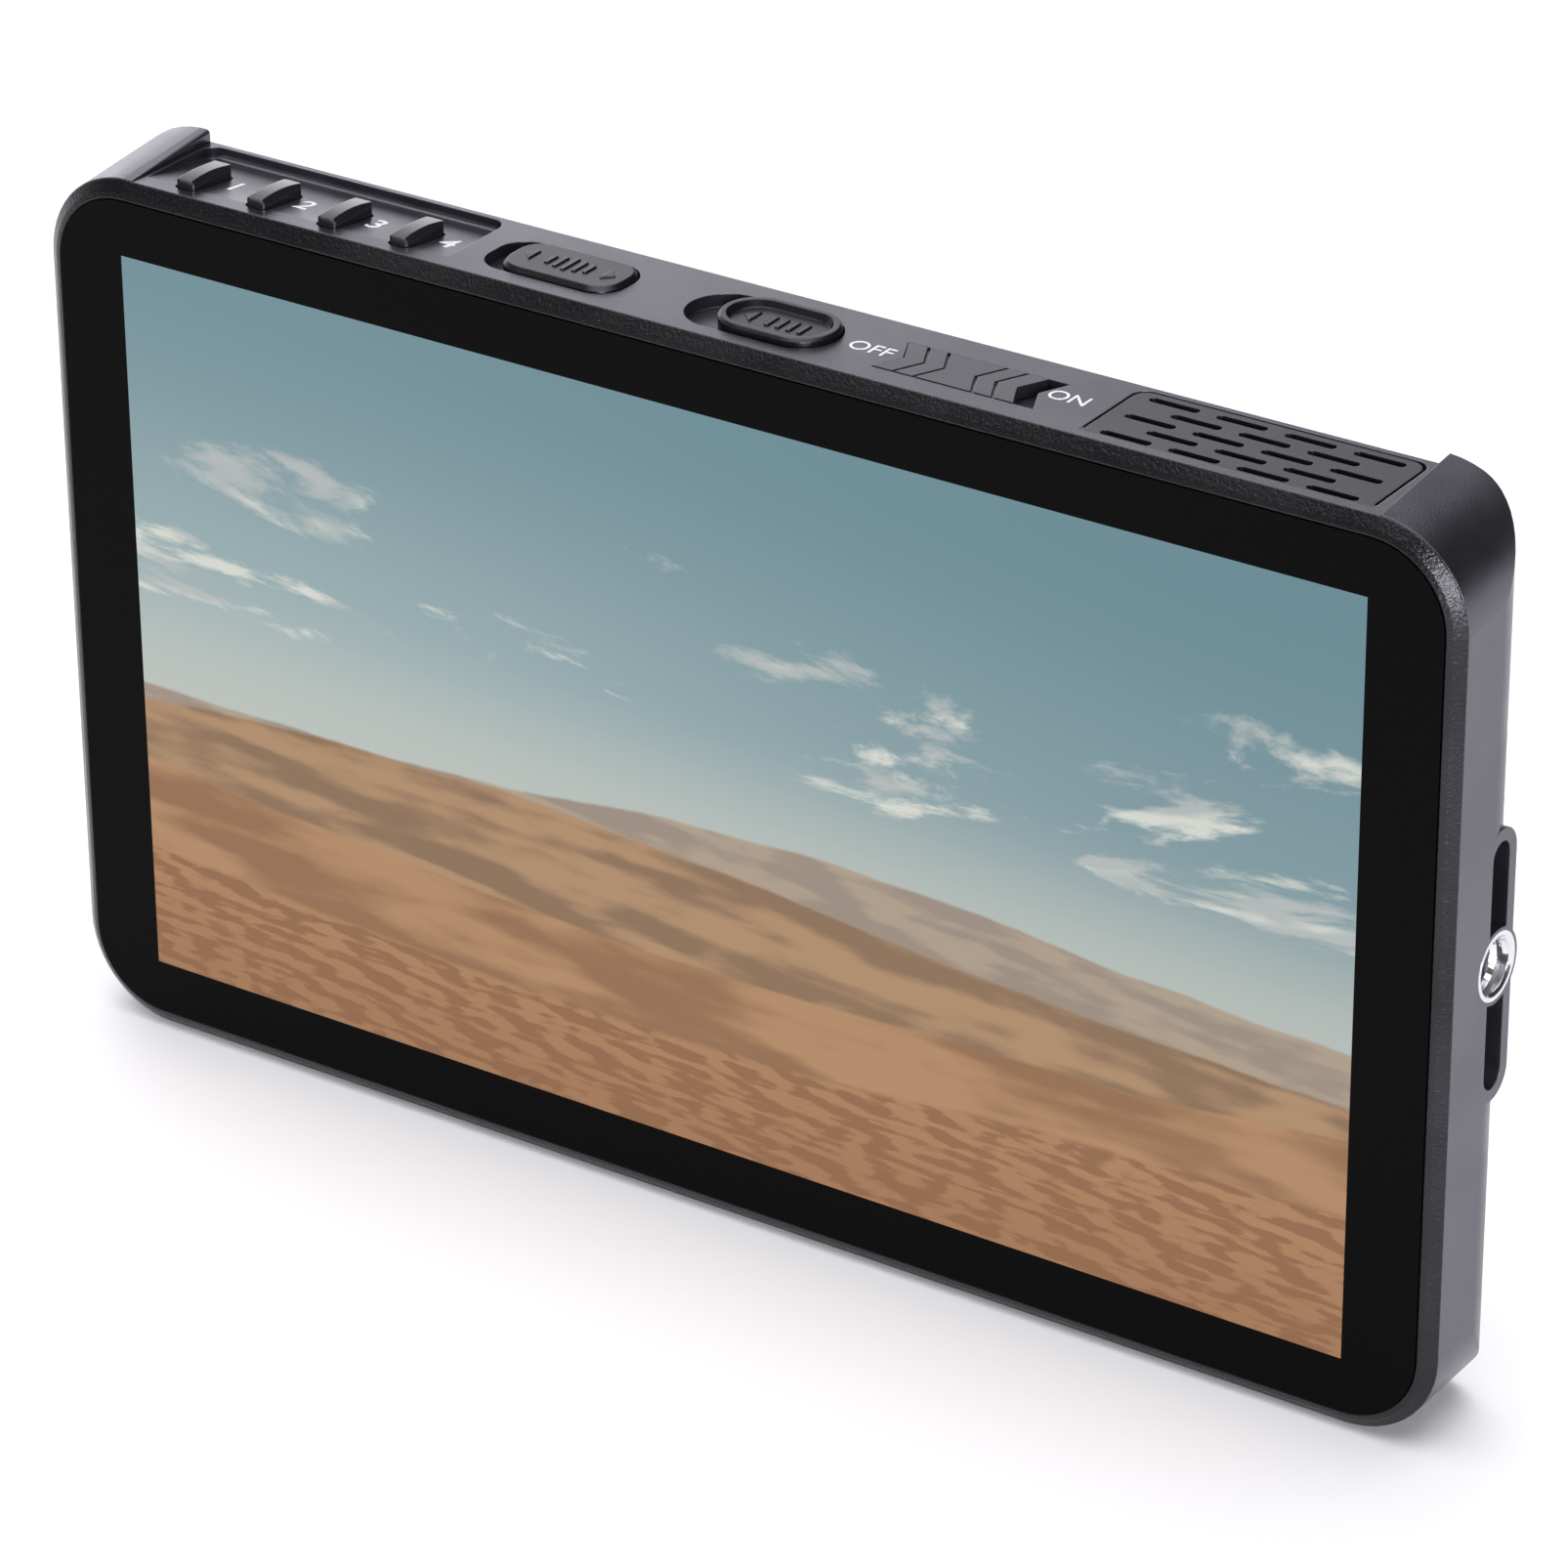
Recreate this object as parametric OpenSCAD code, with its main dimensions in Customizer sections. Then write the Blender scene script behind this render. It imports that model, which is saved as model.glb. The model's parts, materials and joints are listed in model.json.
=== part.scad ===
// Slim on-camera field monitor with a touch screen, a key deck on the top edge
// and a sliding battery plate on the back.
// x runs across the screen, y runs from the glass to the back, z is up.
// Every piece is drawn with y = 0 on the glass and z = 0 at the screen's centre,
// and placed() moves it so that the part stands on z = 0, centred in x and y.

/* [Screen] */
// Width of the picture area
screen_w = 132.8; // [130:0.2:146]
// Height of the picture area
screen_h = 74.7; // [72:0.1:82]
// Black border left and right of the picture
side_border = 7.4; // [6.9:0.05:9]
// Black border above and below the picture
top_border = 5.45; // [5.2:0.05:7]
// Thickness of the cover glass
glass_t = 1.1; // [0.9:0.05:1.2]
// Thickness of the display panel
panel_t = 1.2; // [1:0.05:1.3]
// Thickness of the backlight
backlight_t = 1.6; // [1.2:0.05:1.7]
// Rim of the display panel outside the picture
panel_rim = 2.4; // [2:0.1:2.6]

/* [Front frame] */
// Width of the frame seen from the front
frame_w = 1.7; // [1.5:0.05:2.2]
// Depth of the frame's outer edge behind the glass
frame_step = 1.1; // [0.9:0.05:1.2]
// Width of the frame's outer bevel
frame_bevel = 1.0; // [0.5:0.05:1.1]
// Width of the ledge that carries the glass
ledge_w = 2.2; // [1.6:0.1:2.4]
// Thickness of that ledge
ledge_t = 0.5; // [0.4:0.05:0.6]
// Wall of the housing left outside the frame's tongue
rebate_w = 0.8; // [0.7:0.05:0.9]
// Radius of the body's corners
corner_r = 9.2; // [8:0.1:11]

/* [Housing] */
// Depth of the housing's back behind the glass
shell_d = 12.9; // [12.9:0.1:16]
// Wall thickness of the housing
wall = 1.6; // [1.4:0.1:1.8]
// Thickness of the deck that holds the keys
deck_t = 2.7; // [2.6:0.05:3]
// Radius of the rounding from the sides to the back
side_round = 5.5; // [4:0.1:6]
// Rise of the corner shells towards the back
shell_rise = 1.1; // [0.3:0.05:1.6]
// Width of each corner shell beside the deck
corner_land = 8.8; // [8:0.1:11]
// Rim between the grille and the deck's back edge
deck_rim = 0.6; // [0.5:0.05:0.8]

/* [Function keys] */
// Distance from key to key
key_pitch = 8.15; // [7.6:0.05:8.4]
// Width of a key
key_w = 2.3; // [1.8:0.1:2.8]
// Length of a key from front to back
key_len = 5.9; // [5.4:0.1:6.6]
// Front face of the keys behind the glass
key_front = 2.45; // [2.45:0.05:2.6]
// Height of a key's crown over the deck
key_rise = 1.0; // [0.5:0.05:1.2]
// Radius of a key's arched top
key_arch_r = 18; // [12:0.5:24]
// Bevel along a key's top edges
key_bevel = 0.35; // [0.2:0.05:0.5]
// Rounding of a key's corners in plan
key_corner = 0.6; // [0.3:0.05:0.8]
// Press travel of a key
key_travel = 0.35; // [0.2:0.05:0.4]
// Length of the scooped recess round the keys
recess_len = 34.4; // [33.6:0.1:35.4]
// Depth of the recess at its back wall
recess_depth = 1.1; // [0.6:0.05:1.4]
// Where the recess starts to slope down behind the glass
recess_start = 2.9; // [2.6:0.1:3.2]
// Fillet between the recess's floor and its back wall
recess_fillet = 0.5; // [0.3:0.05:0.6]
// Rim between the recess and the deck's back edge
recess_rim = 0.6; // [0.5:0.05:1.2]
// Strip of deck left of the recess
recess_ledge = 1.6; // [1:0.1:2]
// First key's left face from the recess's left wall
key_inset = 3.5; // [2.8:0.1:3.8]

/* [Touch lock slider] */
// Share of the deck's free length that lies left of this pocket
touch_share = 0.13; // [0.08:0.01:0.2]
// Length of the pocket
touch_pocket_l = 14.9; // [14:0.1:15.2]
// Width of the pocket from front to back
touch_pocket_w = 7.0; // [6.4:0.1:7.2]
// Centre of the pockets behind the glass
pocket_y = 6.6; // [6.4:0.05:6.7]
// Travel of the touch lock slider
touch_travel = 1.8; // [1.2:0.1:2]
// Height of its top over the deck
touch_rise = 0.45; // [0.2:0.05:0.8]
// Bevel round its top
touch_bevel = 0.4; // [0.2:0.05:0.5]
// Rounding of its corners in plan
touch_corner = 2.6; // [2:0.1:3]

/* [Battery release slider] */
// Share of the deck's free length between the lock's pocket and this one
release_share = 0.33; // [0.28:0.01:0.38]
// Length of the pocket
release_pocket_l = 15.6; // [15.2:0.1:15.8]
// Width of the pocket from front to back
release_pocket_w = 7.8; // [7.2:0.1:7.8]
// Travel of the release slider
release_travel = 3.4; // [2.6:0.1:3.4]
// Height of its rim over the deck
release_rise = 0.7; // [0.3:0.05:1]
// Depth of the dish in its top
dish_depth = 0.6; // [0.3:0.05:0.8]
// Width of the rim round the dish
dish_rim = 0.75; // [0.5:0.05:1]
// Slope of the dish's wall, measured in plan
dish_slope = 0.4; // [0.2:0.05:0.6]
// Bevel round its rim
release_bevel = 0.25; // [0.15:0.05:0.3]

/* [Power slider] */
// Share of the deck's free length between the release's pocket and this one
power_share = 0.27; // [0.22:0.01:0.32]
// Length of the pocket
power_pocket_l = 16.7; // [16:0.1:17]
// Width of the pocket from front to back
power_pocket_w = 6.1; // [5.6:0.1:6.4]
// Depth of the swallow-tail notch in its ends
tail_notch = 1.4; // [0.8:0.1:1.8]
// Travel of the power slider
power_travel = 2.0; // [1.4:0.1:2.2]
// Distance between the grip grooves in its top
grip_pitch = 2.1; // [1.6:0.1:2.6]
// Width of a grip groove
grip_w = 0.35; // [0.2:0.05:0.5]
// Depth of a grip groove
grip_depth = 0.25; // [0.15:0.05:0.4]

/* [Pockets and clearances] */
// Depth of the three slider pockets
pocket_depth = 1.25; // [1:0.05:1.3]
// Gap round every key and slider
slide_gap = 0.15; // [0.1:0.01:0.2]
// Gap between parts that are laid in each other
seat_gap = 0.1; // [0.05:0.01:0.12]

/* [Vent grille] */
// Width of the grille
vent_w = 28.9; // [28.2:0.1:29.2]
// Strip of deck right of the grille
vent_land = 1.2; // [0.6:0.1:1.8]
// Thickness of the grille plate
vent_t = 1.5; // [1.2:0.05:1.6]
// Front edge of the grille behind the glass
vent_front = 2.2; // [2.15:0.05:2.3]
// Width of the groove round the grille
groove_w = 0.28; // [0.2:0.02:0.4]
// Depth of that groove
groove_depth = 0.6; // [0.3:0.05:0.8]
// Where the groove ends behind the glass
groove_start = 2.7; // [2.4:0.1:3.4]
// Length of a slot
slot_len = 5.0; // [4:0.1:5.4]
// Width of a slot
slot_w = 0.9; // [0.6:0.05:1.2]
// Distance from slot to slot in a row
slot_pitch = 6.75; // [6.5:0.05:6.8]
// Distance from row to row
row_pitch = 2.0; // [1.8:0.05:2.1]
// Number of rows
row_count = 5; // [3:1:5]
// First row behind the glass
row_start = 2.85; // [2.7:0.05:2.9]

/* [Threaded inserts] */
// Outer radius of the inserts
insert_r = 3.25; // [3:0.05:3.3]
// Radius of the tapped hole, for a quarter-inch thread
thread_r = 2.6; // [2.4:0.05:2.7]
// Length of the side insert
insert_len = 7.5; // [6:0.1:7.5]
// Length of the bottom insert
low_insert_len = 5.2; // [4.6:0.1:5.3]
// Centre of the inserts in front of the housing's back
insert_back = 4.15; // [4.1:0.05:4.3]
// Height of the side insert over the screen's middle
insert_z = 0.9; // [-2:0.1:4]
// Chamfer at the mouth of each insert
mouth = 0.25; // [0.15:0.05:0.3]
// Length of the slot at the side insert
side_slot_l = 24.3; // [20:0.1:30]
// Width of the slot at the side insert
side_slot_w = 3.0; // [2.6:0.1:3.6]
// Depth of that slot
side_slot_depth = 3.0; // [2:0.1:3.6]
// Rim between the slot and the edge of its pad
side_pad_rim = 1.2; // [1:0.1:1.4]
// Ring of housing left round the side insert
insert_ring = 0.35; // [0.3:0.05:0.6]

/* [Battery plate] */
// Thickness of the rear cover
cover_t = 1.6; // [1.4:0.1:2]
// Bevel round the rear cover
cover_bevel = 1.0; // [0.5:0.1:1.2]
// Width of the battery that slides on
battery_w = 38.4; // [36:0.1:40]
// Room between the battery's ends and the body's top and bottom
battery_room = 9.1; // [9:0.1:9.6]
// Thickness of the plate
plate_t = 2.0; // [1.6:0.1:2.6]
// Height of the hooks over the plate
hook_h = 3.4; // [3:0.1:4]
// Length of each hook
hook_l = 14; // [10:0.5:16]
// Distance between the upper and the lower hooks
hook_pitch = 35; // [30:0.5:37]
// Travel of the battery latch
latch_travel = 1.9; // [1.4:0.1:1.9]
// Height of the latch over the plate
latch_h = 1.8; // [1.2:0.1:1.8]

/* [Sockets] */
// Width of a picture socket
hdmi_w = 15.0; // [14:0.1:15.4]
// Height of a picture socket
hdmi_h = 5.5; // [5:0.1:5.5]
// Depth of a picture socket
hdmi_d = 12.0; // [10:0.1:13]
// Width of the small data socket
usb_w = 9.0; // [8.6:0.1:9.4]
// Height of the small data socket
usb_h = 3.2; // [3:0.1:3.4]
// Depth of the small data socket
usb_d = 7.5; // [7:0.1:9]
// Radius of the headphone socket's bore
jack_r = 1.8; // [1.75:0.05:1.9]
// Radius of the power socket's bore
dc_r = 2.1; // [2:0.05:2.2]
// Wall of the socket shells
shell_t = 0.35; // [0.25:0.05:0.5]

/* [Hidden] */
$fn = 48;

// Each key is a piece of its own, key_1 to key_4
key_count = 4;

// A small overlap that makes cuts break through
eps = 0.5;

// Body
body_w = screen_w + 2 * (side_border + frame_w);
body_h = screen_h + 2 * (top_border + frame_w);
half_w = body_w / 2;
deck_z = body_h / 2;
deck_in = deck_z - deck_t;
step_x = half_w - corner_land;
seam = 0.05;
housing_y = frame_step + seam;
cavity_y = shell_d - wall;
cover_y = shell_d + cover_t;
plate_y = cover_y + plate_t;
total_d = plate_y + hook_h;

// Display stack, from the glass to the board
bond_t = 0.15;
panel_y = glass_t + bond_t;
backlight_y = panel_y + panel_t;
ledge_y = glass_t + 0.25;
tongue_y = ledge_y + ledge_t;
stack_gap = 0.15;
bracket_y = max(backlight_y + backlight_t, tongue_y) + stack_gap;
bracket_t = 0.6;
bracket_back = bracket_y + bracket_t;
board_y = bracket_back + stack_gap;
board_t = 0.8;
board_back = board_y + board_t;

// Heights under the keys
flange_t = 0.55;
flange_gap = 0.1;
flange_z = deck_in - flange_gap - flange_t;
switch_h = 1.2;
key_board_t = 0.8;
key_board_z = flange_z - key_travel - flange_gap - switch_h - key_board_t;
key_board_top = key_board_z + key_board_t;
switch_top = key_board_top + switch_h;
switch_y = 7.4;
key_board_front = 5.5;
key_board_back = cavity_y - 0.2;
pocket_z = deck_z - pocket_depth;

// Deck controls
recess_x = -step_x + recess_ledge;
recess_x1 = recess_x + recess_len;
recess_back = shell_d - recess_rim;
function key_x(i) = recess_x + key_inset + key_w / 2 + i * key_pitch;
vent_x1 = step_x - vent_land;
vent_x0 = vent_x1 - vent_w;
vent_y1 = shell_d - deck_rim;
vent_corner = 1.5;
deck_free = vent_x0 - recess_x1 - touch_pocket_l - release_pocket_l - power_pocket_l;
touch_x = recess_x1 + touch_share * deck_free + touch_pocket_l / 2;
release_x = touch_x + (touch_pocket_l + release_pocket_l) / 2 + release_share * deck_free;
power_x = release_x + (release_pocket_l + power_pocket_l) / 2 + power_share * deck_free;
touch_l = touch_pocket_l - touch_travel - 2 * slide_gap;
touch_w = touch_pocket_w - 2 * slide_gap - 0.2;
touch_rest_x = touch_x + touch_travel / 2;
release_l = release_pocket_l - release_travel - 2 * slide_gap;
release_w = release_pocket_w - 2 * slide_gap - 0.3;
release_rest_x = release_x + release_travel / 2;
power_l = power_pocket_l - power_travel - 2 * slide_gap;
power_w = power_pocket_w - 2 * slide_gap;
power_rest_x = power_x - power_travel / 2;

// Carriages of the sliders under the deck, and the room that their travel takes
neck_w = 2.6;
neck_l = 4;
touch_carriage = 9;
release_carriage = 8;
power_carriage = 8.6;
release_neck_shift = 1.2;
post_r = 1.3;
screw_r = 0.5;
post_gap = 0.3;
post_room = post_r + post_gap;
touch_reach = (touch_carriage + touch_travel) / 2 + post_room;
power_reach = (power_carriage + power_travel) / 2 + post_room;
release_reach = (release_carriage + release_travel) / 2 + post_room;
post_y = key_board_back - 1.4;
key_posts_x = [(key_x(0) + key_x(1)) / 2, touch_x - touch_reach, touch_x + touch_reach];
power_posts_x = [power_x - power_reach, power_x + power_reach];
keeper_x = release_x + release_neck_shift;
keeper_posts_x = [keeper_x - release_reach, keeper_x + release_reach];
keeper_y = 4.2;
keeper_t = 0.25;
keeper_z = flange_z - keeper_t - flange_gap;

// Rear opening and cover
opening_w = body_w - 34;
opening_h = body_h - 12;
cover_w = body_w - 16.6;
cover_h = body_h - 7.2;
post_x = opening_w / 2 + 3.5;
post_z = opening_h / 2 - 3.5;

// Battery latch, driven by the release slider through a wedge
latch_w = 5;
latch_x = release_x - latch_w / 2;
battery_l = body_h - 2 * battery_room;
battery_top = battery_l / 2;
latch_z0 = battery_top + 0.2;
latch_z1 = opening_h / 2 - 0.5;
wedge_back = cavity_y - 0.5;
wedge_slope = latch_travel / release_travel;
latch_front = wedge_back - wedge_slope * latch_w - 1;
wing_top = flange_z - flange_t;
plate_w = battery_w + 7.6;
plate_z0 = -battery_top - 3.1;
plate_z1 = latch_z1 + 1.1;

// Tripod insert at the side
insert_y = shell_d - insert_back;
insert_wall = 0.75;
insert_floor = 0.8;
boss_r = insert_r + insert_wall;
side_boss_x = half_w - insert_len - 1;
low_boss_z = -deck_z + low_insert_len + insert_floor;
fit_gap = 0.02;

// Sockets, spread evenly along the main board's edge
board_x0 = -half_w + 6.3;
board_x1 = post_x - 3;
board_z0 = -post_z + 3;
board_z1 = post_z - 3;
jack_w = 6.0;
jack_h = 5.0;
jack_d = 11;
dc_w = 6.6;
dc_h = 5.4;
dc_d = 10;
sockets_z0 = board_z0 + 0.2;
sockets_z1 = board_z1 - 4.5;
socket_step = (sockets_z1 - sockets_z0 - 2 * hdmi_w - usb_w - jack_w - dc_w) / 4;
hdmi_z = [sockets_z1 - hdmi_w / 2, sockets_z1 - hdmi_w * 1.5 - socket_step];
usb_z = hdmi_z[1] - (hdmi_w + usb_w) / 2 - socket_step;
jack_z = usb_z - (usb_w + jack_w) / 2 - socket_step;
dc_z = sockets_z0 + dc_w / 2;
hdmi_y = board_back + hdmi_h / 2;
socket_gap = 0.15;
socket_face = -half_w + 0.3;
jack_face = -half_w + 1.1;

// Moves a piece from the screen's frame to the part's frame
module placed() {
    translate([0, -total_d / 2, body_h / 2]) children();
}

// A front outline drawn in x and z, extruded from y0 to y1
module front_prism(y0, y1) {
    translate([0, y1, 0]) rotate([90, 0, 0]) linear_extrude(y1 - y0) children();
}

// A side outline drawn in y and z, extruded from x0 to x1
module side_prism(x0, x1) {
    translate([x0, 0, 0]) rotate([90, 0, 90]) linear_extrude(x1 - x0) children();
}

// A plan outline drawn in x and y, extruded from z0 to z1
module plan_prism(z0, z1) {
    translate([0, 0, z0]) linear_extrude(z1 - z0) children();
}

// A cylinder along y from y0 to y1
module pin_y(r, y0, y1) {
    translate([0, y1, 0]) rotate([90, 0, 0]) cylinder(r = r, h = y1 - y0);
}

// A box given by its two corners
module block(x0, x1, y0, y1, z0, z1) {
    translate([x0, y0, z0]) cube([x1 - x0, y1 - y0, z1 - z0]);
}

module rounded_rect(w, h, r) {
    square([w - 2 * r, h], center = true);
    square([w, h - 2 * r], center = true);
    for (sx = [-1, 1], sy = [-1, 1])
        translate([sx * (w / 2 - r), sy * (h / 2 - r)]) circle(r);
}

module obround(l, w) {
    square([l - w, w], center = true);
    for (s = [-1, 1]) translate([s * (l - w) / 2, 0]) circle(w / 2);
}

// Sweeps a profile round a rounded rectangle that stands in x and z.
// In the profile, x is the distance from the corner's centre and y is depth.
module frame_sweep(w, h, r) {
    rotate([-90, 0, 0]) for (k = [0:3]) {
        across = (k % 2 == 0) ? w : h;
        along = (k % 2 == 0) ? h : w;
        rotate([0, 0, 90 * k]) translate([across / 2 - r, 0, 0]) {
            rotate([90, 0, 0]) linear_extrude(along - 2 * r, center = true) children();
            translate([0, along / 2 - r, 0]) rotate_extrude(angle = 90) children();
        }
    }
}

// The body's outline seen from the front, drawn inwards by a distance
module body_outline(inset = 0) {
    rounded_rect(body_w - 2 * inset, body_h - 2 * inset, corner_r - inset);
}

// The body's plan, with its rounded back corners, drawn inwards by a distance
module plan_outline(inset = 0) {
    r = side_round - inset;
    back = shell_d - inset;
    reach = half_w - inset;
    translate([-reach, -eps]) square([2 * reach, back - r + eps]);
    translate([-reach + r, 0]) square([2 * (reach - r), back]);
    for (s = [-1, 1]) translate([s * (reach - r), back - r]) circle(r);
}

// What is cut off between the two corner shells to make the flat deck
module deck_cut() {
    block(-step_x, step_x, 0, shell_d + eps, deck_z, deck_z + 3);
}

// The scooped recess round the function keys
module recess_cut() {
    r = 1.6;
    fillet_y = recess_back - recess_fillet;
    floor_z = deck_z - recess_depth;
    intersection() {
        side_prism(recess_x, recess_x1) {
            polygon([
                [recess_start, deck_z + 3], [recess_start, deck_z], [fillet_y, floor_z],
                [fillet_y, floor_z + recess_fillet], [recess_back, floor_z + recess_fillet],
                [recess_back, deck_z + 3]
            ]);
            translate([fillet_y, floor_z + recess_fillet]) circle(recess_fillet);
        }
        plan_prism(deck_z - 3, deck_z + 4)
            translate([recess_x + recess_len / 2, recess_back - 10])
                rounded_rect(recess_len, 20, r);
    }
}

// Plan of the swallow-tailed pocket or slider
module tail_outline(l, w) {
    polygon([
        [-l / 2, -w / 2], [l / 2, -w / 2], [l / 2 - tail_notch, 0], [l / 2, w / 2],
        [-l / 2, w / 2], [-l / 2 + tail_notch, 0]
    ]);
}

// Plan of the grille, with square corners at the front
module vent_outline(inset = 0) {
    x0 = vent_x0 + inset;
    x1 = vent_x1 - inset;
    y1 = vent_y1 - inset;
    translate([x0, vent_front]) square([x1 - x0, y1 - vent_corner - vent_front]);
    translate([x0 + vent_corner, vent_front])
        square([x1 - x0 - 2 * vent_corner, y1 - vent_front]);
    for (x = [x0 + vent_corner, x1 - vent_corner])
        translate([x, y1 - vent_corner]) circle(vent_corner);
}

// How far the corner shells start above the frame's edge
shell_lip = 0.08;

// The outer form: straight below, and with rising corner shells above
module housing_form() {
    tilt = atan(shell_rise / (shell_d - housing_y));
    intersection() {
        union() {
            intersection() {
                front_prism(housing_y, shell_d) body_outline();
                block(-half_w - 1, half_w + 1, 0, shell_d + 1, -body_h, 0);
            }
            intersection() {
                translate([0, housing_y, deck_z + shell_lip]) rotate([tilt, 0, 0])
                    translate([0, -housing_y, -deck_z])
                        front_prism(housing_y - 6, shell_d + 6) body_outline();
                block(-half_w - 1, half_w + 1, housing_y, shell_d, 0, body_h);
            }
        }
        plan_prism(-body_h, body_h) plan_outline();
    }
}

module housing_cavity() {
    front_prism(housing_y - eps, tongue_y + seat_gap) body_outline(rebate_w);
    intersection() {
        front_prism(tongue_y, cavity_y) intersection() {
            body_outline(wall);
            translate([-half_w, -deck_z]) square([body_w, deck_z + deck_in]);
        }
        plan_prism(-body_h, body_h) plan_outline(wall);
    }
    front_prism(cavity_y - eps, shell_d + eps) rounded_rect(opening_w, opening_h, 4);
}

// Flat pads on the sides that carry the insert and the sockets. The left pad's front
// corners end in the housing's flat side, so only its straight edges show.
slot_floor = 1.2;
pad_corner = 2;
pad_y0 = shell_d - side_round - pad_corner - 0.5;
pad_y1 = shell_d - 0.2;
pad_z0 = sockets_z0 - 1.2;
pad_z1 = sockets_z1 + 2;
module side_pad_plan(rim) {
    obround(side_slot_l + 2 * rim, side_slot_w + 2 * rim);
}

module side_pads() {
    side_prism(half_w - side_round, half_w) translate([insert_y, insert_z]) rotate(90) {
        side_pad_plan(side_pad_rim);
        circle(insert_r + insert_ring);
    }
    side_prism(-half_w, -half_w + side_round)
        translate([(pad_y0 + pad_y1) / 2, (pad_z0 + pad_z1) / 2])
            rounded_rect(pad_y1 - pad_y0, pad_z1 - pad_z0, pad_corner);
}

module insert_bosses() {
    y0 = max(insert_y - boss_r, bracket_y);
    y1 = insert_y + boss_r;
    intersection() {
        block(side_boss_x, half_w - wall, y0, y1, insert_z - boss_r, insert_z + boss_r);
        plan_prism(-body_h, body_h) plan_outline();
    }
    block(-boss_r, boss_r, y0, y1, -deck_z + wall, low_boss_z);
    side_prism(half_w - side_slot_depth - slot_floor, half_w - wall + eps)
        translate([insert_y, insert_z]) rotate(90) side_pad_plan(slot_floor);
}

module deck_post(x, y, z0) {
    translate([x, y, z0]) cylinder(r = post_r, h = deck_in - z0 + eps);
}

module key_openings() {
    for (i = [0:key_count - 1])
        plan_prism(deck_in - eps, deck_z + eps)
            translate([key_x(i), key_front + key_len / 2])
                rounded_rect(key_w + 2 * slide_gap, key_len + 2 * slide_gap,
                             key_corner + slide_gap);
}

// A slider pocket's floor slot, wide enough for the neck and its travel
module neck_slot(x, travel) {
    plan_prism(deck_in - eps, pocket_z + eps)
        translate([x, pocket_y])
            square([neck_l + travel + 2 * slide_gap, neck_w + 2 * slide_gap], center = true);
}

module slider_pockets() {
    plan_prism(pocket_z, deck_z + eps)
        translate([touch_x, pocket_y]) rounded_rect(touch_pocket_l, touch_pocket_w,
                                                       touch_corner + slide_gap);
    neck_slot(touch_x, touch_travel);
    plan_prism(pocket_z, deck_z + eps)
        translate([release_x, pocket_y]) obround(release_pocket_l, release_pocket_w);
    neck_slot(keeper_x, release_travel);
    plan_prism(pocket_z, deck_z + eps)
        translate([power_x, pocket_y]) tail_outline(power_pocket_l, power_pocket_w);
    neck_slot(power_x, power_travel);
}

// Ledges that carry the grille at the back and the sides, and at the front
vent_ledge = 1.0;
vent_front_ledge = 0.15;
module vent_opening() {
    y0 = vent_front + vent_front_ledge;
    y1 = vent_y1 - vent_ledge;
    plan_prism(deck_z - vent_t, deck_z + 2) vent_outline();
    plan_prism(deck_in - eps, deck_z) translate([vent_x0 + vent_ledge, y0])
        square([vent_w - 2 * vent_ledge, y1 - y0]);
}

module tripod_slot() {
    difference() {
        side_prism(half_w - side_slot_depth, half_w + eps)
            translate([insert_y, insert_z]) rotate(90) side_pad_plan(0);
        translate([half_w - side_slot_depth - eps, insert_y, insert_z]) rotate([0, 90, 0])
            cylinder(r = insert_r + insert_ring, h = side_slot_depth + 2 * eps);
    }
}

// The room that a socket's block takes in the housing, and its mouth in the side
module socket_room(x0, x1, h, w, z) {
    side_prism(x0, x1 + socket_gap) translate([board_back + h / 2, z])
        square([h + 2 * socket_gap, w + 2 * socket_gap], center = true);
}

module round_mouth(r, h, z) {
    side_prism(-half_w - eps, jack_face) translate([board_back + h / 2, z]) circle(r + 0.4);
}

module socket_openings() {
    for (z = hdmi_z) socket_room(-half_w - eps, socket_face + hdmi_d, hdmi_h, hdmi_w, z);
    side_prism(-half_w - eps, socket_face + usb_d + socket_gap)
        translate([board_back + usb_h / 2, usb_z]) rotate(90)
            obround(usb_w + 2 * socket_gap, usb_h + 2 * socket_gap);
    round_mouth(jack_r, jack_h, jack_z);
    socket_room(jack_face - 0.1, jack_face + jack_d, jack_h, jack_w, jack_z);
    round_mouth(dc_r, dc_h, dc_z);
    socket_room(jack_face - 0.1, jack_face + dc_d, dc_h, dc_w, dc_z);
}

module main_housing() {
    color([0.13, 0.13, 0.15]) placed() difference() {
        union() {
            difference() {
                union() {
                    housing_form();
                    side_pads();
                }
                housing_cavity();
            }
            insert_bosses();
            for (x = key_posts_x) deck_post(x, post_y, key_board_top);
            for (x = power_posts_x) deck_post(x, post_y, key_board_top);
            for (x = keeper_posts_x) deck_post(x, keeper_y, keeper_z + keeper_t);
        }
        deck_cut();
        recess_cut();
        key_openings();
        slider_pockets();
        vent_opening();
        tripod_slot();
        socket_openings();
        translate([half_w - insert_len, insert_y, insert_z]) rotate([0, 90, 0])
            cylinder(r = insert_r + fit_gap, h = insert_len + eps);
        translate([0, insert_y, -deck_z - eps])
            cylinder(r = insert_r + fit_gap, h = low_insert_len + eps);
        for (x = key_posts_x) translate([x, post_y, key_board_top - eps])
            cylinder(r = screw_r + fit_gap, h = 2.2 + eps);
        for (x = power_posts_x) translate([x, post_y, key_board_top - eps])
            cylinder(r = screw_r + fit_gap, h = 2.2 + eps);
        for (x = keeper_posts_x) translate([x, keeper_y, keeper_z - eps])
            cylinder(r = screw_r + fit_gap, h = 1.6 + eps);
        for (sx = [-1, 1], sz = [-1, 1]) translate([sx * post_x, 0, sz * post_z])
            pin_y(1.1, cavity_y - eps, shell_d + eps);
    }
}

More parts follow.
